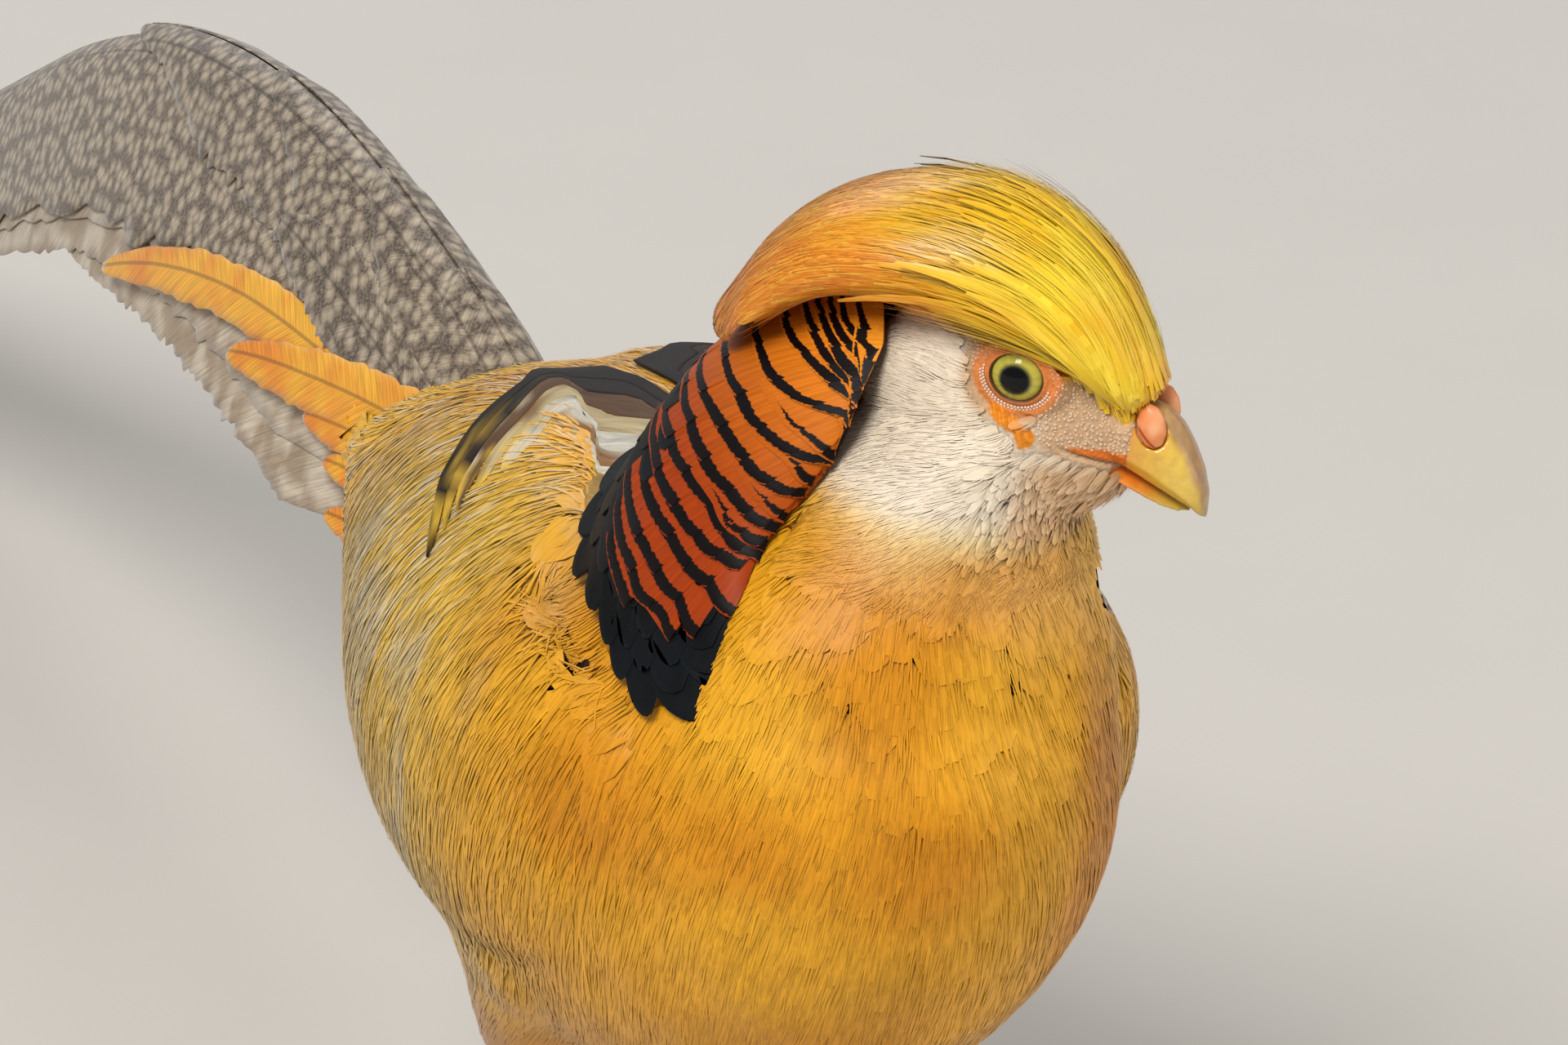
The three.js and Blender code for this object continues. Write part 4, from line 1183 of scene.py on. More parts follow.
def collar(sweep):
    """Where the cape leaves the head, from the bird's right over the nape to its left."""
    share = np.abs(sweep) / CAPE_SWEEP
    back = np.interp(share, [0, 0.35, 0.6, 1], [-31, -26, -24, -30])
    return from_head(np.stack([back, 18.5 * np.sin(sweep), -16 + 20 * np.cos(sweep)], -1))


def from_body(x, y, z):
    """A point of the trunk's own frame, in mm, in the scene."""
    pitch = math.radians(BODY_PITCH)
    ahead = y * math.cos(pitch) + z * math.sin(pitch)
    up = z * math.cos(pitch) - y * math.sin(pitch)
    return np.stack([x, ahead, up], -1) * MM + BODY_PLACE


# The front of the trunk in mm: place along it, the middle's height, half width, and height over the middle
TRUNK_ROWS = np.array([
    (-117, 8, 3, 3), (-112, 8, 18, 17), (-101, 7, 35, 34), (-80, 4, 51, 49),
    (-48, 1, 61, 60), (-8, -1, 65, 64), (35, 1, 61, 62), (75, 5, 47, 50),
])


def on_trunk(along, turn, lift):
    """Points over the trunk, lift mm off it, turned from the back's ridge by degrees to the bird's left."""

    def place(along, turn):
        middle, half, above = (np.interp(along, TRUNK_ROWS[:, 0], TRUNK_ROWS[:, k]) for k in (1, 2, 3))
        return from_body(half * np.sin(turn), along, middle + above * np.cos(turn))

    turn = np.radians(turn)
    down = place(along + 6, turn) - place(along - 6, turn)
    around = place(along, turn + 0.05) - place(along, turn - 0.05)
    return place(along, turn) + unit(np.cross(around, down)) * lift * MM


def hem(sweep, reach, lift):
    """Where the cape's hem lies on the trunk, reach mm further out than the hem itself."""
    back = np.cos(sweep * 1.06)
    rounded = np.tanh(np.abs(sweep) / math.radians(55))
    tucked = 1 - 0.14 * (sweep / CAPE_SWEEP) ** 4
    turn = 51 * rounded * tucked + math.degrees(reach / 70) * (1 - np.maximum(back, 0)) * rounded
    along = -58 + 36 * back + reach * np.maximum(back, 0.2 * back)
    return on_trunk(along, np.sign(sweep) * turn, lift)


def cape_sheet():
    """Cape and mantle as even steps down each line, each line's share, and where it leaves the head."""
    sweep = np.linspace(-1.02, 1.02, CAPE_LINES) * CAPE_SWEEP
    start, end = collar(sweep), hem(sweep, 0, 4.2)
    bulge = start * 0.58 + end * 0.42
    swell = (11 + 13 * np.exp(-((sweep / CAPE_SWEEP / 0.45) ** 2)))[:, None] * MM
    bulge = bulge + unit(bulge - HEAD_PLACE - CAPE_HEART) * swell
    t = np.linspace(-0.12, 1, 57)[:, None, None]
    curve = start * (1 - t) ** 2 + 2 * bulge * t * (1 - t) + end * t**2
    beyond = [hem(sweep, reach, 4.2 - 0.08 * reach) for reach in range(1, 20)]
    past = beyond[-1] + unit(beyond[-1] - beyond[-3]) * 100 * MM
    dense = np.concatenate([curve, beyond, [past]]).transpose(1, 0, 2)
    far = travelled(dense)
    collar_at = np.array([np.interp(0, t.ravel(), row[:57]) for row in far]) * MM / CAPE_STEP
    steps = np.arange(CAPE_ROWS) * CAPE_STEP / MM
    even = [[np.interp(steps, far[i], dense[i, :, j]) for j in range(3)] for i in range(CAPE_LINES)]
    points = np.array(even).transpose(0, 2, 1)
    normals = unit(np.cross(np.gradient(points, axis=0), np.gradient(points, axis=1)))
    outward = (normals * unit(points - HEAD_PLACE - CAPE_HEART)).sum(-1, keepdims=True)
    return Sheet(points, unit(normals * np.sign(outward))), np.abs(sweep) / CAPE_SWEEP, collar_at


def cape_extent(share, collar_at):
    """The steps at which each line's orange feathers begin and end, and where its black ones do."""
    limits = (ORANGE_START, ORANGE_END, BLACK_START, BLACK_END)
    return [collar_at + np.interp(share, *knots) * MM / CAPE_STEP for knots in limits]


def cape_cover():
    """A test for points that lie under the cape or the mantle."""
    sheet, share, collar_at = cape_sheet()
    orange_start, orange_end, black_start, black_end = (end[:, None] for end in cape_extent(share, collar_at))
    step = np.arange(CAPE_ROWS)
    shown = ((step > orange_start) & (step < orange_end)) | ((step > black_start) & (step < black_end - 2))
    shown &= (share < 0.92)[:, None]
    cover = Coat()
    cover.under(sheet, shown, np.zeros(shown.shape), "#000000", round_head)
    tree = BVHTree.FromPolygons(cover.points[0].tolist(), cover.loops[0].reshape(-1, 4).tolist())

    def covered(points):
        hits = [tree.find_nearest(p, COVER_REACH) for p in points.tolist()]
        gap = np.array([1 if h[0] is None else h[3] for h in hits])
        away = points - np.array([p if h[0] is None else h[0][:] for p, h in zip(points, hits)])
        normal = np.array([(0, 0, 1) if h[0] is None else h[1][:] for h in hits])
        return (gap < COVER_REACH) & (np.abs((away * normal).sum(-1)) > 0.8 * gap)

    return covered


def barred(name):
    """Orange vanes with a black bar along the end, which grows wider to the front, and fine barbs."""
    material, tree, shader, colour = coloured(name, Roughness=0.5, Specular_IOR_Level=0.15)
    # Broad cape feathers are keratin barbs held side by side, with a satin gloss and toothed bar edges.
    uv = add(tree, "UVMap", uv_map="Vane").outputs["UV"]
    split = add(tree, "SeparateXYZ", {0: uv})
    place = add(tree, "NewGeometry").outputs["Position"]

    def number(operation, *values):
        return add(tree, "Math", dict(enumerate(values)), operation=operation).outputs[0]

    def noise(vector, scale):
        return add(tree, "TexNoise", {"Vector": vector, "Scale": scale, "Detail": 2.0}).outputs["Fac"]

    def scaled(x, y):
        return add(tree, "VectorMath", {0: uv, 1: (x, y, 1.0)}, operation="MULTIPLY").outputs[0]

    def band(value, half):
        inside = number("SUBTRACT", half, number("ABSOLUTE", value))
        return add(tree, "MapRange", {"Value": inside, "From Min": -0.12, "From Max": 0.12}).outputs[0]

    lumps = noise(place, 1 / (7 * MM))
    behind = number("MULTIPLY_ADD", noise(scaled(1.4, 0.15), 1.0), 1.1, split.outputs[1])
    limits = {"From Min": -8.0, "From Max": 30.0, "To Min": -0.6, "To Max": 0.95}
    width = add(tree, "MapRange", {"Value": split.outputs[0]} | limits).outputs[0]
    dark = band(number("SUBTRACT", behind, 2.0), number("MULTIPLY_ADD", lumps, 0.6, width))
    barb = noise(scaled(1.8, 0.1), 1.0)
    limits = {"From Min": 0.3, "From Max": 0.7, "To Min": 0.8, "To Max": 1.12}
    shade = add(tree, "MapRange", {"Value": barb} | limits).outputs[0]
    lit = add(tree, "VectorMath", {0: colour, "Scale": shade}, operation="SCALE").outputs[0]
    final = add(tree, "Mix", {0: dark, 6: lit, 7: (*linear("#0D0404"), 1)}, data_type="RGBA").outputs[2]
    tree.links.new(final, shader.inputs["Base Color"])
    bump = add(tree, "Bump", {"Height": barb, "Strength": 0.3, "Distance": 0.2 * MM})
    tree.links.new(bump.outputs[0], shader.inputs["Normal"])
    return material


# The black bars as place between nape (0) and front edge (1), and mm from the collar. The short bars that
# start between the long ones are in the second list.
LONG_BARS = (
    ((0.03, 7), (0.2, 3)),
    ((0.06, 10), (0.23, 6), (0.32, 1)),
    ((0.1, 12), (0.2, 9), (0.29, 6), (0.36, 2)),
    ((0.03, 18), (0.2, 12), (0.35, 7), (0.43, 3)),
    ((0.03, 22), (0.2, 15), (0.35, 9), (0.46, 3)),
    ((0.03, 27), (0.2, 20), (0.35, 12), (0.44, 7), (0.52, 2)),
    ((0.03, 34), (0.2, 28), (0.35, 22), (0.45, 14.5), (0.56, 4)),
    ((0.03, 42), (0.25, 34), (0.45, 25.5), (0.6, 16), (0.77, 3)),
    ((0.03, 50), (0.2, 44), (0.4, 34), (0.6, 24.5), (0.72, 17), (0.84, 10), (0.95, 4)),
    ((0.03, 56), (0.26, 46), (0.5, 36), (0.67, 26.5), (0.8, 21), (0.96, 16)),
    ((0.1, 62), (0.26, 52), (0.41, 45), (0.58, 36.5), (0.73, 30), (0.93, 23)),
    ((0.1, 66), (0.26, 56), (0.44, 49.5), (0.61, 41), (0.82, 30), (0.95, 26)),
    ((0.3, 60), (0.44, 54), (0.64, 44), (0.85, 35)),
    ((0.3, 64), (0.5, 56.5), (0.67, 49), (0.8, 43)),
    ((0.4, 64), (0.5, 61), (0.67, 55), (0.78, 48)),
    ((0.4, 67), (0.58, 62), (0.7, 58)),
)
SHORT_BARS = (
    ((0.34, 24), (0.45, 19), (0.52, 16), (0.61, 11), (0.76, 3)),
    ((0.45, 26), (0.52, 22), (0.61, 17), (0.73, 12), (0.86, 7)),
    ((0.54, 29), (0.64, 24.5), (0.76, 19), (0.92, 14)),
    ((0.47, 40), (0.55, 36), (0.64, 32), (0.79, 25), (0.96, 20)),
)
# mm from the collar at places between nape and front edge
ORANGE_START = ((0.29, 0.47, 0.58, 0.76, 0.82, 0.9, 0.96, 1.02), (-1, 2, 4, 3, 6, 11, 19, 26))
ORANGE_END = (
    (0, 0.26, 0.35, 0.41, 0.47, 0.5, 0.58, 0.67, 0.76, 0.85, 0.9, 0.96, 1.02),
    (50, 54, 54, 57, 61, 65, 64, 60, 49, 39, 31, 21, 16),
)
BLACK_START = ((0, 0.26, 0.47, 0.5, 0.67, 0.76, 0.85, 0.96, 1.02), (47, 51, 58, 61, 56, 46, 36, 39, 44))
BLACK_END = ((0.06, 0.26, 0.5, 0.64, 0.73, 0.85, 0.96, 1.02), (85, 88, 74, 70, 67, 62, 53, 46))
CAPE_HEART = np.array([-21.0, 17.0, -35.0]) * MM  # from the head, what the cape bulges away from
CAPE_STEP = 1.5 * MM
COVER_REACH = 14 * MM  # how far below the cape a point still lies under it
THICK = 0.25 * MM  # of cape and mantle feathers
CAPE_LINES = 71
CAPE_ROWS = 90
SPREAD = 60.0  # mm, from the nape to the front edge as patterns count it


def make_cape(settings):
    sheet, share, collar_at = cape_sheet()
    orange_start, orange_end, black_start, black_end = cape_extent(share, collar_at)
    place, step = np.arange(CAPE_LINES), np.arange(CAPE_ROWS)
    mm = MM / CAPE_STEP
    front_dip = 2.4 * smooth(share, 0.9, 1.0)
    depth = (1.1 + front_dip[:, None]) * MM * np.ones((1, CAPE_ROWS))
    coat, dark_coat = Coat(), Coat()
    shown = (step > orange_start[:, None]) & (step < orange_end[:, None]) & (share < 1.0)[:, None]
    # Painted shade: the bed under the orange feathers is a darker orange, for the gaps between them.
    coat.under(sheet, shown, depth, "#7A2A08", round_head)
    shown = (step > black_start[:, None] - 3) & (step < black_end[:, None] - 3) & (share < 1.0)[:, None]
    dark_coat.under(sheet, shown, depth + 0.6 * MM, "#050607", round_body)
    rng = np.random.default_rng(41)
    rows, columns = 12, 13
    u = np.linspace(0, 1, rows)[None, :, None]
    v = np.linspace(-1, 1, columns)[None, None]

    def paint(points, u, v):
        local = to_head(points)
        deep = smooth(local[..., 2] + 0.35 * local[..., 0], 0, -58)
        colour = mix(linear("#E8861A"), linear("#A03804"), deep)
        front = smooth(local[..., 0], -36, -20) * smooth(local[..., 2], -14, 4)
        return mix(colour, linear("#F7A822"), 0.8 * front)

    bars = sorted(LONG_BARS + SHORT_BARS, key=lambda knots: np.interp(0.5, *zip(*knots)))
    for k, knots in enumerate(bars):
        ends = collar_at + (np.interp(share, *zip(*knots)) + 1.4) * mm
        ends = ends + np.convolve(rng.normal(0, 0.35, CAPE_LINES + 6), np.ones(7) / 7, "valid")
        middle = np.arange(1.0 + 2.1 * (k % 2), CAPE_LINES - 1, 4.2)
        middle = np.concatenate([middle[middle < 34], 70 - middle[middle < 34]])
        at = np.interp(middle, place, share)
        kept = (at < knots[-1][0] + 0.07) & (np.interp(middle, place, ends - orange_start) > 0.5)
        kept &= np.interp(middle, place, orange_end - ends) > -1
        if knots in SHORT_BARS:
            kept &= at > knots[0][0]
        middle = middle[kept]
        across = middle[:, None, None] + 3.5 * v * np.minimum(1, 0.5 + u)
        tip = np.interp(across, place, ends) + rng.normal(0, 0.06, (len(middle), 1, 1)) - 0.4 * np.abs(v) ** 6
        begin = np.interp(across, place, orange_start)
        along = tip - np.clip(tip - begin, 0.1, settings.feather / CAPE_STEP) * (1 - u)
        tilt = 0.12 * v * np.sign(middle - CAPE_LINES / 2 + 0.1)[:, None, None]
        rise = (0.9 - 1.3 * (1 - u) + tilt - np.interp(across, place, front_dip)) * MM
        middles = sheet.at(middle, np.interp(middle, place, ends))[0]
        fan = np.interp(across, place, share)
        wide = 1.6 * SPREAD * (fan - knots[0][0]) - 8 if knots in SHORT_BARS else 8 + SPREAD * fan
        vane = wide, (tip - along) / mm
        coat.lay(sheet, across, along, rise, paint, round_head(middles), THICK, VANE_PATCH, vane)
    coat.build("cape_feathers", barred("keratin_barred_vanes"), "cape_feathers", ["cape"], satin=0.75)

    # The mantle's rounded slate feathers, in rows that run up under the cape's ends
    for k in range(8):
        middle = np.arange(1.0 + 1.7 * (k % 2), CAPE_LINES - 1, 3.4)
        edge = np.interp(middle, place, black_end) - 5.4 * k * mm
        kept = edge > np.interp(middle, place, black_start)
        middle, edge = middle[kept], edge[kept]
        if not len(middle):
            continue
        left, right = sheet.at(middle + 0.5, edge - 3)[0], sheet.at(middle - 0.5, edge - 3)[0]
        gap = np.linalg.norm(left - right, axis=-1)
        half = rng.uniform(7.6, 9.2, len(middle)) * MM / np.maximum(gap, 1.0 * MM)
        arc = 1 - np.sqrt(1 - (0.985 * v) ** 2)
        across = middle[:, None, None] + half[:, None, None] * v * np.minimum(1, 0.55 + u)
        tip = (edge + rng.normal(0, 0.4, len(middle)))[:, None, None] - 3.0 * arc * u
        along = tip - 10 * (1 - u)
        tilt = 0.16 * v * np.sign(middle - CAPE_LINES / 2 + 0.1)[:, None, None]
        rise = (0.15 * k - 0.9 * (1 - u) + tilt - np.interp(across, place, front_dip)) * MM

        def slate(points, u, v):
            # Painted sheen: a lighter blue-grey rim at each feather's tip.
            rim = smooth(u + 0.04 * v**2, 0.95, 1.0) * np.ones(points.shape[:-1])
            base = mix(linear("#040506"), linear("#090D11"), smooth(cloud(points, 9 * MM, 7), 0.3, 0.8))
            return mix(base, linear("#161D22"), 0.3 * rim)

        middles = sheet.at(middle, edge)[0]
        dark_coat.lay(sheet, across, along, rise, slate, round_body(middles), THICK, VANE_PATCH)
    # Slate feathers are full of dark pigment: nearly black keratin with a faint, dull gloss.
    material = barbs(
        "keratin_slate_vanes", spacing=0.6, run=8.0, dark=0.3, relief=0.2,
        Roughness=0.55, Specular_IOR_Level=0.15, Sheen_Weight=0.0,
    )
    dark_coat.build("mantle_feathers", material, "mantle_feathers", ["mantle"], satin=0.75)


# Body


def on_body(along, turn, reach=95.0):
    """A point outside the trunk, along it and turned from the back's ridge by degrees to the bird's left."""
    turn = np.radians(turn)
    return from_body(reach * np.sin(turn), along + 0 * turn, reach * np.cos(turn))


def coat_patch(name, settings, shown, keep, slot, nodes=(), loose=0.0, sparse=1.0, under=None):
    """Broad soft vanes with fine wisps over them, of the colour of the place.

    loose is how much the wisps differ in tone and stand out, and sparse is how much wider apart they are.
    """
    rng = np.random.default_rng(61)
    # Loose golden barbs are keratin that scatters light softly, with a little sheen at their edges.
    material = bpy.data.materials.get("keratin_golden_barbs") or barbs(
        "keratin_golden_barbs", spacing=0.55, run=14.0, dark=0.16, relief=0.3,
        Roughness=0.45, Sheen_Weight=0.1, Specular_IOR_Level=0.3,
    )
    coat = Coat()
    if under is not None:
        # Painted shade: the bed under the wing plumes is darker than the markings.
        coat.bed(shown, 1.3 * MM, lambda p: markings(p) * 0.8, round_body, keep=under)
    for layer in range(2):
        roots = shown.scatter((settings.spacing, settings.wisp_spacing * sparse)[layer], 62 + layer, keep)
        small = 1 - 0.5 * smooth(roots[:, 2], 0.19, 0.24)
        small = small - 0.35 * smooth(roots[:, 2], 0.125, 0.1) * (roots[:, 1] > -0.32)
        lengths = (settings.feather, settings.wisp * (1 + 0.8 * loose))[layer] * small
        lengths = lengths * rng.uniform(0.8, 1.2, len(roots))
        tone = 1 + (0.02, 0.07)[layer] * rng.normal(0, 1, (len(roots), 1, 1, 1))
        kind = rng.random((len(roots), 1, 1))

        def paint(points, u, v):
            colour = markings(points) * tone
            if layer and loose:
                streak = smooth(points[..., 1], -0.34, -0.27) * loose
                colour = mix(colour, linear("#D9D2C2"), 0.55 * streak * (kind > 0.72))
                colour = mix(colour, linear("#8D6326"), 0.45 * streak * (kind < 0.1))
            return colour

        tufts(
            coat, shown, roots, flow_of_body, lengths, (5, 4)[layer], (4.4, 0.22 + 0.08 * loose)[layer] * MM,
            (0.9, 0.1)[layer] * MM, (0.0, 0.32 + 0.25 * loose)[layer] * MM, paint, round_body,
            columns=3, seed=64 + layer, crown=(0.08, 0.15)[layer], stray=(0.04, 0.05 + 0.04 * loose)[layer],
        )
    coat.build(name, material, slot, nodes, satin=0.96)


REAR_OF_BREAST = -0.35  # where the breast's plumage ends, along the bird
TOP_OF_BELLY = 0.16  # how high the belly's plumage reaches
ON_WING = 2.0 * MM  # how near the wing's surface its own plumes root
NEAR_WING = 20 * MM  # and how far the dull layer below them reaches
WING_NODES = [f"wing_{word}_{part}" for word, _ in SIDES for part in ("tertials", "coverts", "primaries")]


def body_form():
    """The trunk, neck, thighs and folded wings as one smooth surface for feathers to lie on."""
    return Form(["trunk", "neck", "thigh_right", "thigh_left"] + WING_NODES, 1.8 * MM, 36)


def make_body(settings):
    covered, shown, wings = cape_cover(), body_form(), Form(WING_NODES, 1.5 * MM, 1)

    def clear(points):
        local = to_head(points)
        return ((local[:, 2] < -24) | (local[:, 0] < -40)) & ~covered(points)

    def apart(points):
        return clear(points) & (wings.distance(points) > ON_WING)

    def rear(points):
        return apart(points) & (points[:, 1] >= REAR_OF_BREAST)

    def on_breast(points):
        return apart(points) & (points[:, 1] < REAR_OF_BREAST)

    def on_back(points):
        return rear(points) & (points[:, 2] > TOP_OF_BELLY)

    def on_belly(points):
        return rear(points) & (points[:, 2] <= TOP_OF_BELLY)

    slot = "body_feathers"
    coat_patch("breast_feathers", settings, shown, on_breast, slot)
    coat_patch("back_feathers", settings, shown, on_back, slot, loose=0.5)
    coat_patch("belly_feathers", settings, shown, on_belly, slot, loose=0.3, sparse=1.5)
    for word, side in SIDES:

        def near_wing(points):
            return (wings.distance(points) < NEAR_WING) & (points[:, 0] * side > 0)

        def on_wing(points):
            return clear(points) & (wings.distance(points) <= ON_WING) & (points[:, 0] * side > 0)

        nodes = [f"wing_{word}_{part}" for part in ("coverts", "primaries")]
        name = "wing_plumes_" + word
        coat_patch(name, settings, shown, on_wing, "wing_feathers", nodes, loose=1.0, under=near_wing)


# Wings

# The outer edge of the folded tertials as place along the trunk and turn from the back's ridge
TERTIAL_EDGE = (
    (-50, 1.5), (-20, 1.5), (5, 1.5), (30, 1.5), (48, 3), (52, 10), (44, 19), (37, 29), (30, 38), (22, 46),
    (10, 54),
)
TERTIAL_HEART = (-46.0, 34.0)  # what the arcs run round


def make_tertials(shown, word, side):
    """Long feathers of the folded wing in arcs one inside the other: dark outside, then pale and brown."""
    knots = np.array(TERTIAL_EDGE, float)
    edge, _ = smooth_path(np.column_stack([knots, 0 * knots[:, 0]]), 60)
    share = np.linspace(0, 0.92, 24)[:, None, None]
    grid = edge[None, :, :2] * (1 - share) + np.array(TERTIAL_HEART) * share
    flat, normal = shown.near(on_body(grid[..., 0], side * grid[..., 1]))
    sheet = Sheet(flat, normal)
    rng = np.random.default_rng(71)
    coat = Coat()
    rows, columns = 40, 9
    u = np.linspace(0, 1, rows)[None, :, None]
    v = np.linspace(-1, 1, columns)[None, None]
    # Each feather's line in the sheet, half width, reach, last step, shade and streak
    feathers = (
        (15.0, 1.9, 0.6, 50, "#A88243", "#CDB680"),
        (12.4, 1.8, 0.7, 52, "#CFC6AE", "#8B6A3C"),
        (10.0, 1.7, 0.8, 54, "#8A6238", "#C8BEA6"),
        (8.0, 1.6, 0.88, 55, "#C9C2B0", "#9C9484"),
        (6.0, 1.5, 0.92, 56, "#B9A67C", "#7A5630"),
        (4.4, 1.3, 0.96, 57, "#5A3E26", "#B7A68A"),
        (2.7, 1.2, 0.98, 58, "#1D130C", "#3A2817"),
        (1.1, 1.1, 1.0, 59, "#130D08", "#1E140C"),
    )
    for k, (line, wide, reach, end, shade, streak) in enumerate(feathers):
        tip = ((u - 0.75) / 0.25).clip(0, 1) ** 2.2
        outline = np.minimum(1, 0.4 + 3 * u) * np.sqrt(np.clip(1 - tip, 0.004, 1))
        across = line + wide * v * outline * (1 + 0.02 * rng.normal(0, 1, (1, rows, 1)) * (np.abs(v) > 0.99))
        along = end * reach * u + 0 * v
        rise = (0.1 + 0.2 * k - 0.5 * (1 - u) - 0.5 * smooth(u, 0.6, 1) + 0.2 * (1 - v**2)) * MM
        first, second = linear(shade), linear(streak)

        def paint(points, u, v):
            grain = cloud(points * (1, 0.6, 0.8), 5.0 * MM, 20 + k)
            colour = mix(first, second, smooth(grain + 0.2 * v, 0.4, 0.85))
            every = np.ones(points.shape[:-1])
            straw = smooth(u, 0.7, 1.0) * smooth(cloud(points, 3 * MM, 9), 0.3, 0.7) * every
            gold = (k == 6) * smooth(np.abs(u - 0.22), 0.17, 0.1) * smooth(grain - 0.3 * v, 0.3, 0.6)
            colour = mix(colour, linear("#D8952A"), gold * every)
            return mix(colour, STRAW, 0.8 * straw)

        slot_place = np.array([[(k + 0.5) / len(feathers), 0.5]])
        patch = np.array([0.92 / len(feathers), 0.96])
        coat.lay(sheet, across, along, rise, paint, slot_place, 0.3 * MM, patch)
    name = "keratin_flight_vanes"
    # Flight feathers are stiff, matt keratin without a sheen.
    material = bpy.data.materials.get(name) or barbs(
        name, spacing=0.6, run=14.0, dark=0.3, relief=0.3,
        Roughness=0.6, Specular_IOR_Level=0.15, Sheen_Weight=0.0,
    )
    nodes = [f"wing_{word}_tertials"]
    coat.build("tertials_" + word, material, "tertial_feathers", nodes, satin=0.3)


# Tail

CREASE = 6.0  # mm, width of the flatter strip beside the ridge
CREASE_SLOPE = math.radians(20)
ROOF_SLOPE = math.radians(62)


def ridge_of_tail():
    """The arched top line of the tail, read from the two central blades' inner edge."""
    points = read(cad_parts["tail_central_right"].data)
    inner = points[np.abs(points[:, 0]) < 0.5 * MM]
    inner = inner[np.argsort(inner[:, 1])]
    breaks = np.flatnonzero(np.diff(inner[:, 1]) > 8 * MM) + 1
    return np.array([part[part[:, 2].argmax()] for part in np.split(inner, breaks)]) * (0, 1, 1)


def smooth_path(knots, count):
    """Even points on a smooth curve through the knots."""
    k = len(knots)
    padded = np.concatenate([[2 * knots[0] - knots[1]], knots, [2 * knots[-1] - knots[-2]]])
    place = np.linspace(0, k - 1, 12 * k)
    i = np.clip(place.astype(int), 0, k - 2)
    t = (place - i)[:, None]
    a, b, c, d = (padded[i + j] for j in range(4))
    dense = 0.5 * (2 * b + (c - a) * t + (2 * a - 5 * b + 4 * c - d) * t**2 + (3 * b - a - 3 * c + d) * t**3)
    run = np.concatenate([[0], np.linalg.norm(np.diff(dense, axis=0), axis=1).cumsum()])
    even = np.linspace(0, run[-1], count)
    return np.stack([np.interp(even, run, dense[:, j]) for j in range(3)], -1), run[-1]


def on_roof(path, length, side, run, slant, lift):
    """A point of the tail's roof: run mm along the ridge, slant mm down its side and lift mm above it."""
    place = np.clip(run * MM / length, 0, 1) * (len(path) - 1)
    low = np.clip(place.astype(int), 0, len(path) - 2)
    part = (place - low)[..., None]
    point = path[low] * (1 - part) + path[low + 1] * part
    along = unit(path[low + 1] - path[low])
    up = np.cross((1, 0, 0), along)
    near = np.minimum(slant, CREASE)
    far = slant - near
    out = near * math.cos(CREASE_SLOPE) + far * math.cos(ROOF_SLOPE)
    down = near * math.sin(CREASE_SLOPE) + far * math.sin(ROOF_SLOPE)
    bend = 1.2 * np.exp(-(((slant - CREASE) / 4) ** 2))
    point = point + up * ((lift - down - bend) * MM)[..., None]
    return point + np.stack([side * (out + 0.3) * MM, 0 * out, 0 * out], -1), up


def marbled(name, spot, dark, mid, pale):
    """Grey-brown vanes with pale round spots in a dark network."""
    finish = {"Roughness": 0.46, "Sheen_Weight": 0.2, "Sheen_Roughness": 0.4}
    material, tree, shader, colour = coloured(name, **finish)
    # Tail feathers are stiff keratin vanes: matt, with fine slanted barbs and a mottle from their growth.
    uv = add(tree, "UVMap", uv_map="Vane").outputs["UV"]
    wobble = add(tree, "TexNoise", {"Vector": uv, "Scale": 0.5, "Detail": 2.0}).outputs["Color"]
    bend = {0: wobble, 1: (1.6, 1.6, 0.0), 2: uv}
    moved = add(tree, "VectorMath", bend, operation="MULTIPLY_ADD").outputs[0]
    grid = {"Vector": moved, "Scale": 1 / spot, "Randomness": 0.85}
    cells = add(tree, "TexVoronoi", grid, feature="F1", voronoi_dimensions="2D").outputs["Distance"]
    limits = {"From Min": 0.12, "From Max": 0.55, "To Min": 0.9, "To Max": 0.0}
    round_spot = add(tree, "MapRange", {"Value": cells} | limits).outputs[0]
    grain = {"Vector": uv, "Scale": 1.1, "Detail": 3.0, "Roughness": 0.7}
    fleck = add(tree, "TexNoise", grain).outputs["Fac"]
    flecked = add(tree, "MapRange", {"Value": fleck, "From Min": 0.42, "From Max": 0.6}).outputs[0]
    ground = add(tree, "Mix", {0: flecked, 6: (*dark, 1), 7: (*mid, 1)}, data_type="RGBA").outputs[2]
    spotted = add(tree, "Mix", {0: round_spot, 6: ground, 7: (*pale, 1)}, data_type="RGBA").outputs[2]
    tint = {0: 0.5, 6: spotted, 7: colour}
    tinted = add(tree, "Mix", tint, data_type="RGBA", blend_type="MULTIPLY").outputs[2]
    slanted_barbs(tree, shader, uv, tinted)
    return material


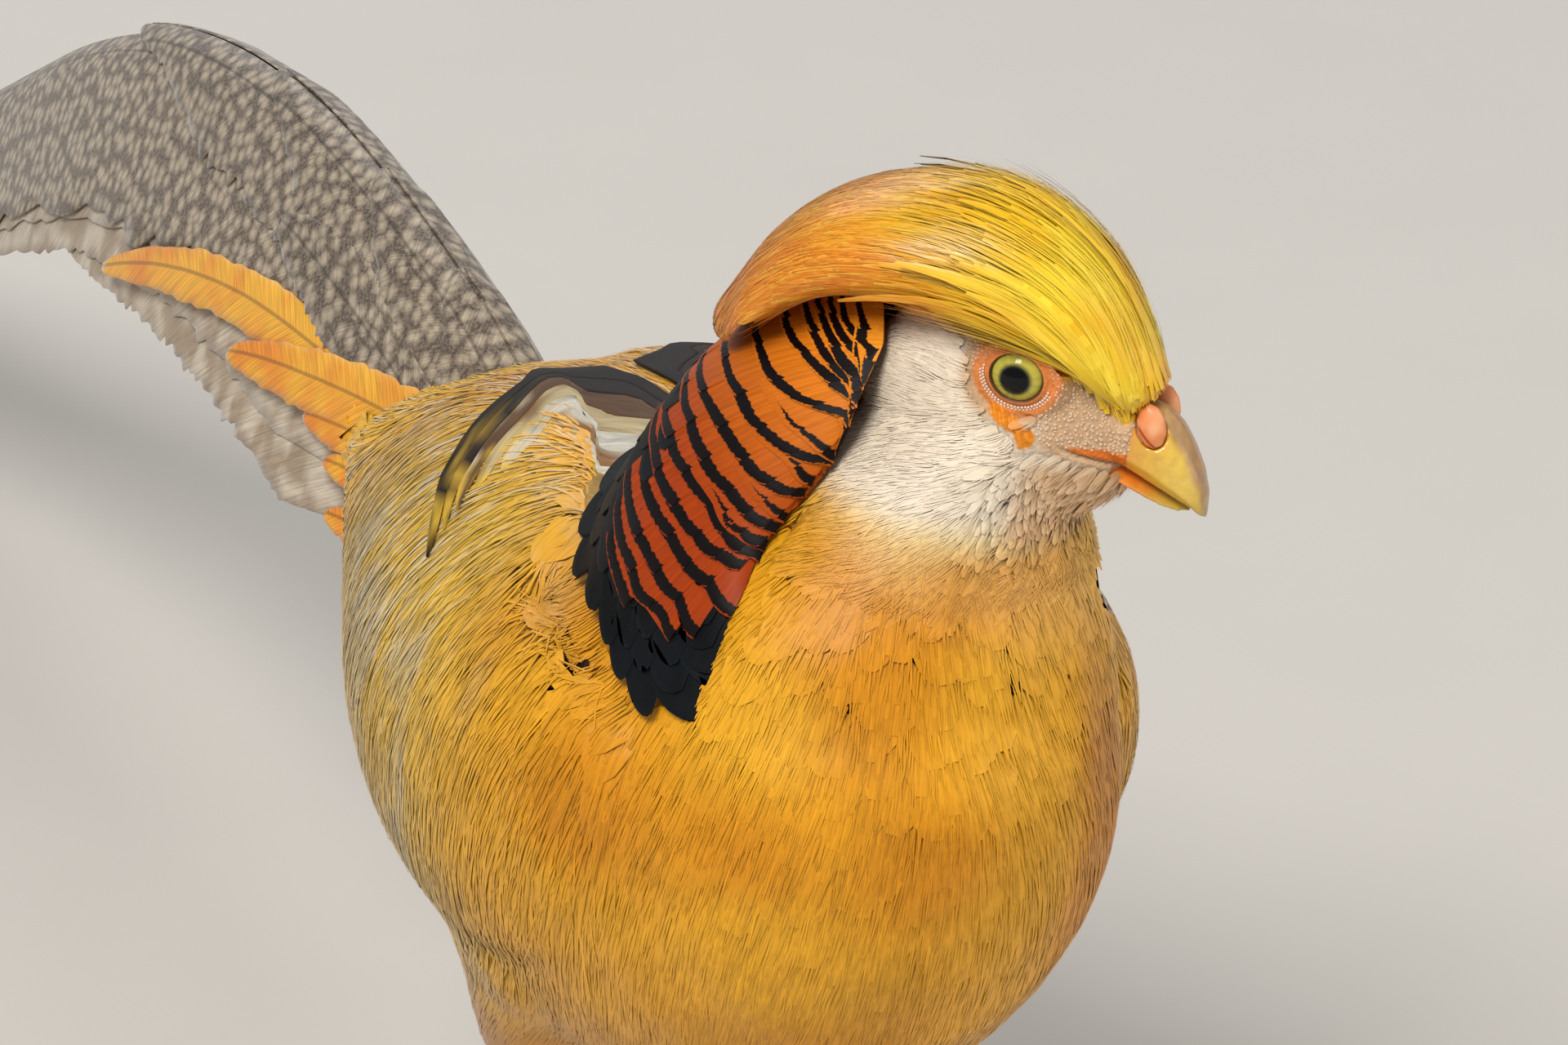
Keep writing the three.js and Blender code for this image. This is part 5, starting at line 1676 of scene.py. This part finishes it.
def slanted_barbs(tree, shader, uv, colour):
    """Fine lines that leave the shaft at a slant, as shade and as relief, with the shaft itself."""
    split = add(tree, "SeparateXYZ", {0: uv})
    beside = add(tree, "Math", {0: split.outputs[0]}, operation="ABSOLUTE").outputs[0]
    slant = add(tree, "Math", {0: beside, 1: -1.1, 2: split.outputs[1]}, operation="MULTIPLY_ADD").outputs[0]
    close = add(tree, "Math", {0: slant, 1: 1.6}, operation="MULTIPLY").outputs[0]
    drawn_out = add(tree, "Math", {0: beside, 1: 0.12}, operation="MULTIPLY").outputs[0]
    spread = add(tree, "CombineXYZ", {0: close, 1: drawn_out}).outputs[0]
    lines = add(tree, "TexNoise", {"Vector": spread, "Scale": 1.0, "Detail": 1.0}).outputs["Fac"]
    limits = {"From Min": 0.3, "From Max": 0.7, "To Min": 0.72, "To Max": 1.15}
    shade = add(tree, "MapRange", {"Value": lines} | limits).outputs[0]
    limits = {"From Min": 0.25, "From Max": 0.6, "To Min": 0.55, "To Max": 1.0}
    shaft = add(tree, "MapRange", {"Value": beside} | limits).outputs[0]
    both = add(tree, "Math", {0: shade, 1: shaft}, operation="MULTIPLY").outputs[0]
    bump = add(tree, "Bump", {"Height": lines, "Strength": 0.4, "Distance": 0.25 * MM})
    tree.links.new(bump.outputs[0], shader.inputs["Normal"])
    final = add(tree, "VectorMath", {0: colour, "Scale": both}, operation="SCALE").outputs[0]
    tree.links.new(final, shader.inputs["Base Color"])


def plain_vanes(name):
    finish = {"Roughness": 0.44, "Sheen_Weight": 0.25, "Sheen_Roughness": 0.4}
    material, tree, shader, colour = coloured(name, **finish)
    # Narrow stiff vanes: satin keratin with slanted barbs and a darker shaft.
    uv = add(tree, "UVMap", uv_map="Vane").outputs["UV"]
    slanted_barbs(tree, shader, uv, colour)
    return material


def tail_piece(name, blades, material, slot, nodes, paint, rows=90, columns=11):
    """Blades laid on the roof: side, first and last run, inner and outer slant, lift, splay and bluntness."""
    knots = ridge_of_tail()
    path, length = smooth_path(knots, 400)
    coat = Coat()
    u, v = np.linspace(0, 1, rows)[:, None], np.linspace(-1, 1, columns)[None]
    for i, (side, first, last, inner, outer, lift, splay, blunt) in enumerate(blades):
        outline = np.sqrt(np.clip(1 - 0.985 * u**blunt, 0.0, 1)) * np.minimum(1, 0.35 + 5 * u)
        rng = np.random.default_rng(80 + i)
        ragged = 1 + 0.05 * rng.normal(0, 1, (rows, 1)) * smooth(u, 0.05, 0.3)
        half = 0.5 * (outer - inner) * outline
        middle = 0.5 * (outer + inner) + splay * u
        slant = middle + half * v * np.where(np.abs(v) > 0.99, ragged, 1)
        if inner < CREASE:
            reach = middle + half - 0.5 * (outer - inner) * smooth(u, 0.6, 1.0)
            slant = inner + (reach - inner) * (v + 1) / 2 * np.where(v > 0.99, ragged, 1)
        run = first + (last - first) * u + 0 * slant
        crown = 0.8 * (1 - v**2) * np.minimum(1, half / 6)
        top, up = on_roof(path, length, side, run, slant, lift + crown + 0.25 * u)
        if side < 0:
            top, up, slant = top[:, ::-1], up[:, ::-1], slant[:, ::-1]
        normal = unit(np.cross(np.gradient(top, axis=1), np.gradient(top, axis=0)))
        away = normal[:, columns // 2]
        slot_place = np.array([[(i + 0.5) / len(blades), 0.5]])
        patch = np.array([0.92 / len(blades), 0.96])
        wide = (slant - middle)[None] if inner >= CREASE else (slant - CREASE)[None]
        coat.loft(
            top[None], away[None], away[None], wide, travelled(top[None, :, columns // 2]),
            lambda p, u, v: paint(p, u, v, i), slot_place, 0.35 * MM, patch,
        )
    coat.build(name, material, slot, nodes)


def both(rows):
    """The same blades for each side."""
    return [(side, *row) for _, side in SIDES for row in rows]


def named(*parts):
    return [f"tail_{part}_{word}" for part in parts for word, _ in SIDES]


def make_tail(settings):
    spot = settings.spot / MM
    dark, mid, pale = linear("#584B3E"), linear("#8F806E"), linear("#C8B8A0")
    central = [
        (0, 680, 0.3, 47, 0.2, 0, 1.5),
        (0, 235, 0.3, 31, 2.4, 0, 2.2),
        (0, 150, 0.3, 27, 3.6, 0, 2.4),
        (0, 112, 14.0, 39, 4.6, 0, 2.6),
        (-4, 92, 0.3, 24, 4.8, 0, 2.4),
        (-8, 50, 0.3, 21, 5.9, 0, 2.4),
    ]

    def duller_to_the_tip(points, u, v, i):
        return mix(linear("#E8DFD2"), linear("#BFB4A6"), u * np.ones(points.shape[:-1]))

    tail_piece(
        "tail_marbled", both(central), marbled("keratin_marbled_vanes", spot, dark, mid, pale),
        "marbled_feathers", named("central", "covert"), duller_to_the_tip,
    )
    side_rows = [
        (40, 520, 12, 46, -2.3, 0, 1.7),
        (40, 360, 20, 54, -4.6, 0, 1.7),
        (40, 240, 30, 61, -6.9, 0, 1.7),
    ]

    def buff(points, u, v, i):
        fleck = cloud(points, 4 * MM, 30)
        return mix(linear("#A08A70"), linear("#C9B9A2"), smooth(fleck, 0.35, 0.7))

    tail_piece(
        "tail_side", both(side_rows), plain_vanes("keratin_buff_vanes"), "side_tail_feathers",
        named("side_1", "side_2", "side_3"), buff,
    )
    plumes = [
        (50, 197, 27, 41, 3.6, 25, 2.4),
        (8, 106, 15, 32, 6.0, 34, 2.4),
        (4, 66, 22, 36, 5.6, 22, 2.4),
        (2, 50, 30, 42, 5.2, 17, 2.2),
        (0, 38, 40, 51, 4.8, 14, 2.2),
    ]

    def orange(points, u, v, i):
        grain = cloud(points, 5 * MM, 31)
        colour = mix(linear("#EBA31C"), linear("#E2800E"), smooth(grain, 0.3, 0.8))
        return mix(colour, linear("#F2BE3A"), 0.5 * (1 - u) * np.ones(points.shape[:-1]))

    tail_piece(
        "tail_plumes", both(plumes), plain_vanes("keratin_orange_vanes"), "orange_plumes",
        named("plume_1", "plume_2"), orange, rows=40, columns=7,
    )


# Legs


def scutes(points, normals, word, scale):
    """How far each plate stands out, and where plates are: on the shank's front and on the toes' backs."""
    ankle = centre("toe_hind_" + word) * (1, 1, 0) + (0, -9 * MM, 0)
    far = np.linalg.norm((points - ankle)[:, :2], axis=1)
    on_toe = smooth(points[:, 2], 16 * MM, 10 * MM) > 0.5
    plate = np.where(on_toe, far, points[:, 2]) / scale % 1.0
    saw = smooth(plate, 0.0, 0.25) * (1 - 0.5 * plate)
    return saw, np.where(on_toe, smooth(normals[:, 2], 0.1, 0.5), smooth(-normals[:, 1], 0.0, 0.4))


def make_legs(settings):
    horn, claw = np.array(settings.horn), np.array(settings.claw)
    toes = ("inner", "middle", "outer", "hind")
    hide, tree, shader, colour = coloured(
        "scaled_leg_skin", Roughness=0.42, IOR=1.5, Coat_Weight=0.1, Coat_Roughness=0.3
    )
    # Leg scales are hard, dry keratin plates: a dull gloss on each plate, and darker seams between them.
    place = add(tree, "NewGeometry").outputs["Position"]
    edges = {"Vector": place, "Scale": 1 / (1.7 * MM)}
    net = add(tree, "TexVoronoi", edges, feature="DISTANCE_TO_EDGE").outputs["Distance"]
    seam = add(tree, "MapRange", {"Value": net, "From Max": 0.12, "To Min": 0.7, "To Max": 1.0}).outputs[0]
    product = add(tree, "VectorMath", {0: colour, "Scale": seam}, operation="SCALE").outputs[0]
    tree.links.new(product, shader.inputs["Base Color"])
    bump = add(tree, "Bump", {"Height": seam, "Strength": 0.5, "Distance": 0.2 * MM})
    tree.links.new(bump.outputs[0], shader.inputs["Normal"])
    nail, tree, shader, colour = coloured("claw_horn_material", Roughness=0.3, IOR=1.54, Coat_Weight=0.2)
    # Claws are horn worn smooth at the tip.
    place = add(tree, "NewGeometry").outputs["Position"]
    grain = add(tree, "TexNoise", {"Vector": place, "Scale": 1 / (1.2 * MM)}).outputs["Fac"]
    grained(tree, shader, colour, grain, (0.3, 0.7), (0.85, 1.1))
    for word, _ in SIDES:
        nodes = [f"shank_{word}"] + [f"toe_{toe}_{word}" for toe in toes]
        made = smoothed("leg_" + word, nodes, 0.7 * MM, 4)
        points, normals = read(made.data), read(made.data, "normal")
        saw, front = scutes(points, normals, word, settings.scale)
        points = points + normals * (saw * front * 0.42 * MM)[:, None]
        points[:, 2] = np.where(points[:, 2] < 0.45 * MM, 0.0, points[:, 2])
        made.data.vertices.foreach_set("co", points.ravel())
        points = read(made.data)
        colours = mix(horn, linear("#8F7A3E"), smooth(cloud(points, 5 * MM, 5), 0.35, 0.8))
        colours = colours * (1 - 0.45 * front * smooth(saw, 0.35, 0.0))[:, None]
        dress_evenly(made, colours, round_body(points), hide)
        placed(made, nodes)
        nodes = [f"claw_{toe}_{word}" for toe in toes] + [f"spur_{word}"]
        made = smoothed("nails_" + word, nodes, 0.35 * MM, 3)
        points = read(made.data)
        colours = mix(claw, linear("#3E3020"), smooth(cloud(points, 2 * MM, 3), 0.3, 0.8))
        dress_evenly(made, colours, round_body(points), nail)
        placed(made, nodes)


# Stage

CAMERA_PLACE = (-0.7149, -1.9413, 1.0886)
CAMERA_VIEW = Vector((0.3656, 0.8211, -0.4384))
SENSOR = 36.0  # mm
LIT_PLACE = Vector((0, -0.3, 0.2))  # what the lamps point at
LAMPS = (  # name, place, width in m and power in W
    ("key", (-1.3, -1.5, 2.3), 0.9, 60.0),
    ("fill", (1.8, -1.6, 1.0), 2.2, 14.0),
    ("back", (0.4, 1.8, 1.6), 1.2, 14.0),
)
SKY = (0.9, 0.94, 1.0, 1)  # a slightly cool even light from all round


def aimed(name, data, place, view):
    """A camera or a lamp that looks along a direction."""
    made = new_object(name, data)
    made.location = place
    made.rotation_euler = view.to_track_quat("-Z", "Y").to_euler()
    return made


def make_stage(settings):
    bpy.ops.mesh.primitive_plane_add(size=8.0, location=(0, 0, 0))
    floor = bpy.context.object
    floor.name = "floor"
    material, tree, shader = blank("matt_floor_paint", Roughness=0.85)
    # Matt paint scatters light evenly, with the faint mottling of a roller.
    place = add(tree, "NewGeometry").outputs["Position"]
    mottle = add(tree, "TexNoise", {"Vector": place, "Scale": 1 / (60 * MM), "Detail": 3.0}).outputs["Fac"]
    tone = np.array(settings.floor)
    paint = add(tree, "Mix", {0: mottle, 6: (*(tone * 0.97), 1), 7: (*(tone * 1.02), 1)}, data_type="RGBA")
    tree.links.new(paint.outputs[2], shader.inputs["Base Color"])
    floor.data.materials.append(material)
    camera_data = bpy.data.cameras.new("camera")
    camera_data.lens = settings.lens
    camera_data.sensor_width = SENSOR
    camera_data.clip_end = 20.0
    bpy.context.scene.camera = aimed("camera", camera_data, CAMERA_PLACE, CAMERA_VIEW)
    for name, place, size, power in LAMPS:
        data = bpy.data.lights.new(name, "AREA")
        data.size = size
        data.energy = power
        aimed(name, data, place, LIT_PLACE - Vector(place))
    world = bpy.data.worlds.new("studio")
    world.use_nodes = True
    sky = world.node_tree.nodes["Background"]
    sky.inputs["Color"].default_value = SKY
    sky.inputs["Strength"].default_value = 0.45
    bpy.context.scene.world = world
    bpy.context.scene.view_settings.view_transform = "Standard"


# The add-on: an operator for each piece, and a panel that lists them


class MakeSkin(bpy.types.Operator):
    """Makes the skin over trunk, neck, head and thighs, and the papillae on it."""

    bl_idname = "pheasant.skin"
    bl_label = "Skin"

    def execute(self, context):
        make_papillae(make_skin(context.scene.pheasant_skin))
        return {"FINISHED"}


class MakeEyes(bpy.types.Operator):
    """Makes the two eyeballs."""

    bl_idname = "pheasant.eyes"
    bl_label = "Eyes"

    def execute(self, context):
        make_eyes(context.scene.pheasant_eyes)
        return {"FINISHED"}


class MakeBill(bpy.types.Operator):
    """Makes the two halves of the bill and the nostril flaps."""

    bl_idname = "pheasant.bill"
    bl_label = "Bill"

    def execute(self, context):
        make_bill(context.scene.pheasant_bill)
        return {"FINISHED"}


class MakeFace(bpy.types.Operator):
    """Makes the down and the bristles of cheeks, chin and throat."""

    bl_idname = "pheasant.face"
    bl_label = "Face"

    def execute(self, context):
        make_face(context.scene.pheasant_face)
        return {"FINISHED"}


class MakeCrest(bpy.types.Operator):
    """Makes the silky crest."""

    bl_idname = "pheasant.crest"
    bl_label = "Crest"

    def execute(self, context):
        make_crest(context.scene.pheasant_crest)
        return {"FINISHED"}


class MakeCape(bpy.types.Operator):
    """Makes the barred cape and the slate mantle."""

    bl_idname = "pheasant.cape"
    bl_label = "Cape and mantle"

    def execute(self, context):
        make_cape(context.scene.pheasant_cape)
        return {"FINISHED"}


class MakeBody(bpy.types.Operator):
    """Makes the plumage of breast, back and belly, and the loose plumes over the wings."""

    bl_idname = "pheasant.body"
    bl_label = "Body plumage"

    def execute(self, context):
        make_body(context.scene.pheasant_body)
        return {"FINISHED"}


class MakeTertials(bpy.types.Operator):
    """Makes the long folded feathers of both wings."""

    bl_idname = "pheasant.tertials"
    bl_label = "Wing tertials"

    def execute(self, context):
        shown = body_form()
        for word, side in SIDES:
            make_tertials(shown, word, side)
        return {"FINISHED"}


class MakeTail(bpy.types.Operator):
    """Makes the marbled and buff tail feathers and the orange plumes beside them."""

    bl_idname = "pheasant.tail"
    bl_label = "Tail"

    def execute(self, context):
        make_tail(context.scene.pheasant_tail)
        return {"FINISHED"}


class MakeLegs(bpy.types.Operator):
    """Makes the scaled shanks and toes, the claws and the spurs."""

    bl_idname = "pheasant.legs"
    bl_label = "Legs"

    def execute(self, context):
        make_legs(context.scene.pheasant_legs)
        return {"FINISHED"}


class MakeStage(bpy.types.Operator):
    """Makes the floor, the lights and the camera."""

    bl_idname = "pheasant.stage"
    bl_label = "Stage"

    def execute(self, context):
        make_stage(context.scene.pheasant_stage)
        return {"FINISHED"}


GROUPS = {
    "skin": SkinSettings,
    "eyes": EyeSettings,
    "bill": BillSettings,
    "face": FaceSettings,
    "crest": CrestSettings,
    "cape": CapeSettings,
    "body": BodySettings,
    "tail": TailSettings,
    "legs": LegSettings,
    "stage": StageSettings,
}
OPERATORS = (
    MakeSkin, MakeEyes, MakeBill, MakeFace, MakeCrest, MakeCape, MakeBody, MakeTertials, MakeTail, MakeLegs,
    MakeStage,
)


class PheasantPanel(bpy.types.Panel):
    """Lists the pieces with their sizes and colours."""

    bl_idname = "VIEW3D_PT_pheasant"
    bl_label = "Golden pheasant"
    bl_space_type = "VIEW_3D"
    bl_region_type = "UI"
    bl_category = "Pheasant"

    def draw(self, context):
        for operator in OPERATORS:
            box = self.layout.box()
            box.operator(operator.bl_idname)
            settings = getattr(context.scene, operator.bl_idname.replace(".", "_"), None)
            for name in getattr(type(settings), "__annotations__", ()):
                box.prop(settings, name)


def register():
    for cls in (*GROUPS.values(), *OPERATORS, PheasantPanel):
        bpy.utils.register_class(cls)
    for name, group in GROUPS.items():
        setattr(bpy.types.Scene, "pheasant_" + name, PointerProperty(type=group))


def unregister():
    for name in GROUPS:
        delattr(bpy.types.Scene, "pheasant_" + name)
    for cls in (PheasantPanel, *reversed(OPERATORS), *GROUPS.values()):
        bpy.utils.unregister_class(cls)


def main():
    register()
    bpy.ops.pheasant.skin()
    bpy.ops.pheasant.eyes()
    bpy.ops.pheasant.bill()
    bpy.ops.pheasant.face()
    bpy.ops.pheasant.crest()
    bpy.ops.pheasant.cape()
    bpy.ops.pheasant.body()
    bpy.ops.pheasant.tertials()
    bpy.ops.pheasant.tail()
    bpy.ops.pheasant.legs()
    bpy.ops.pheasant.stage()


if __name__ == "__main__":
    main()
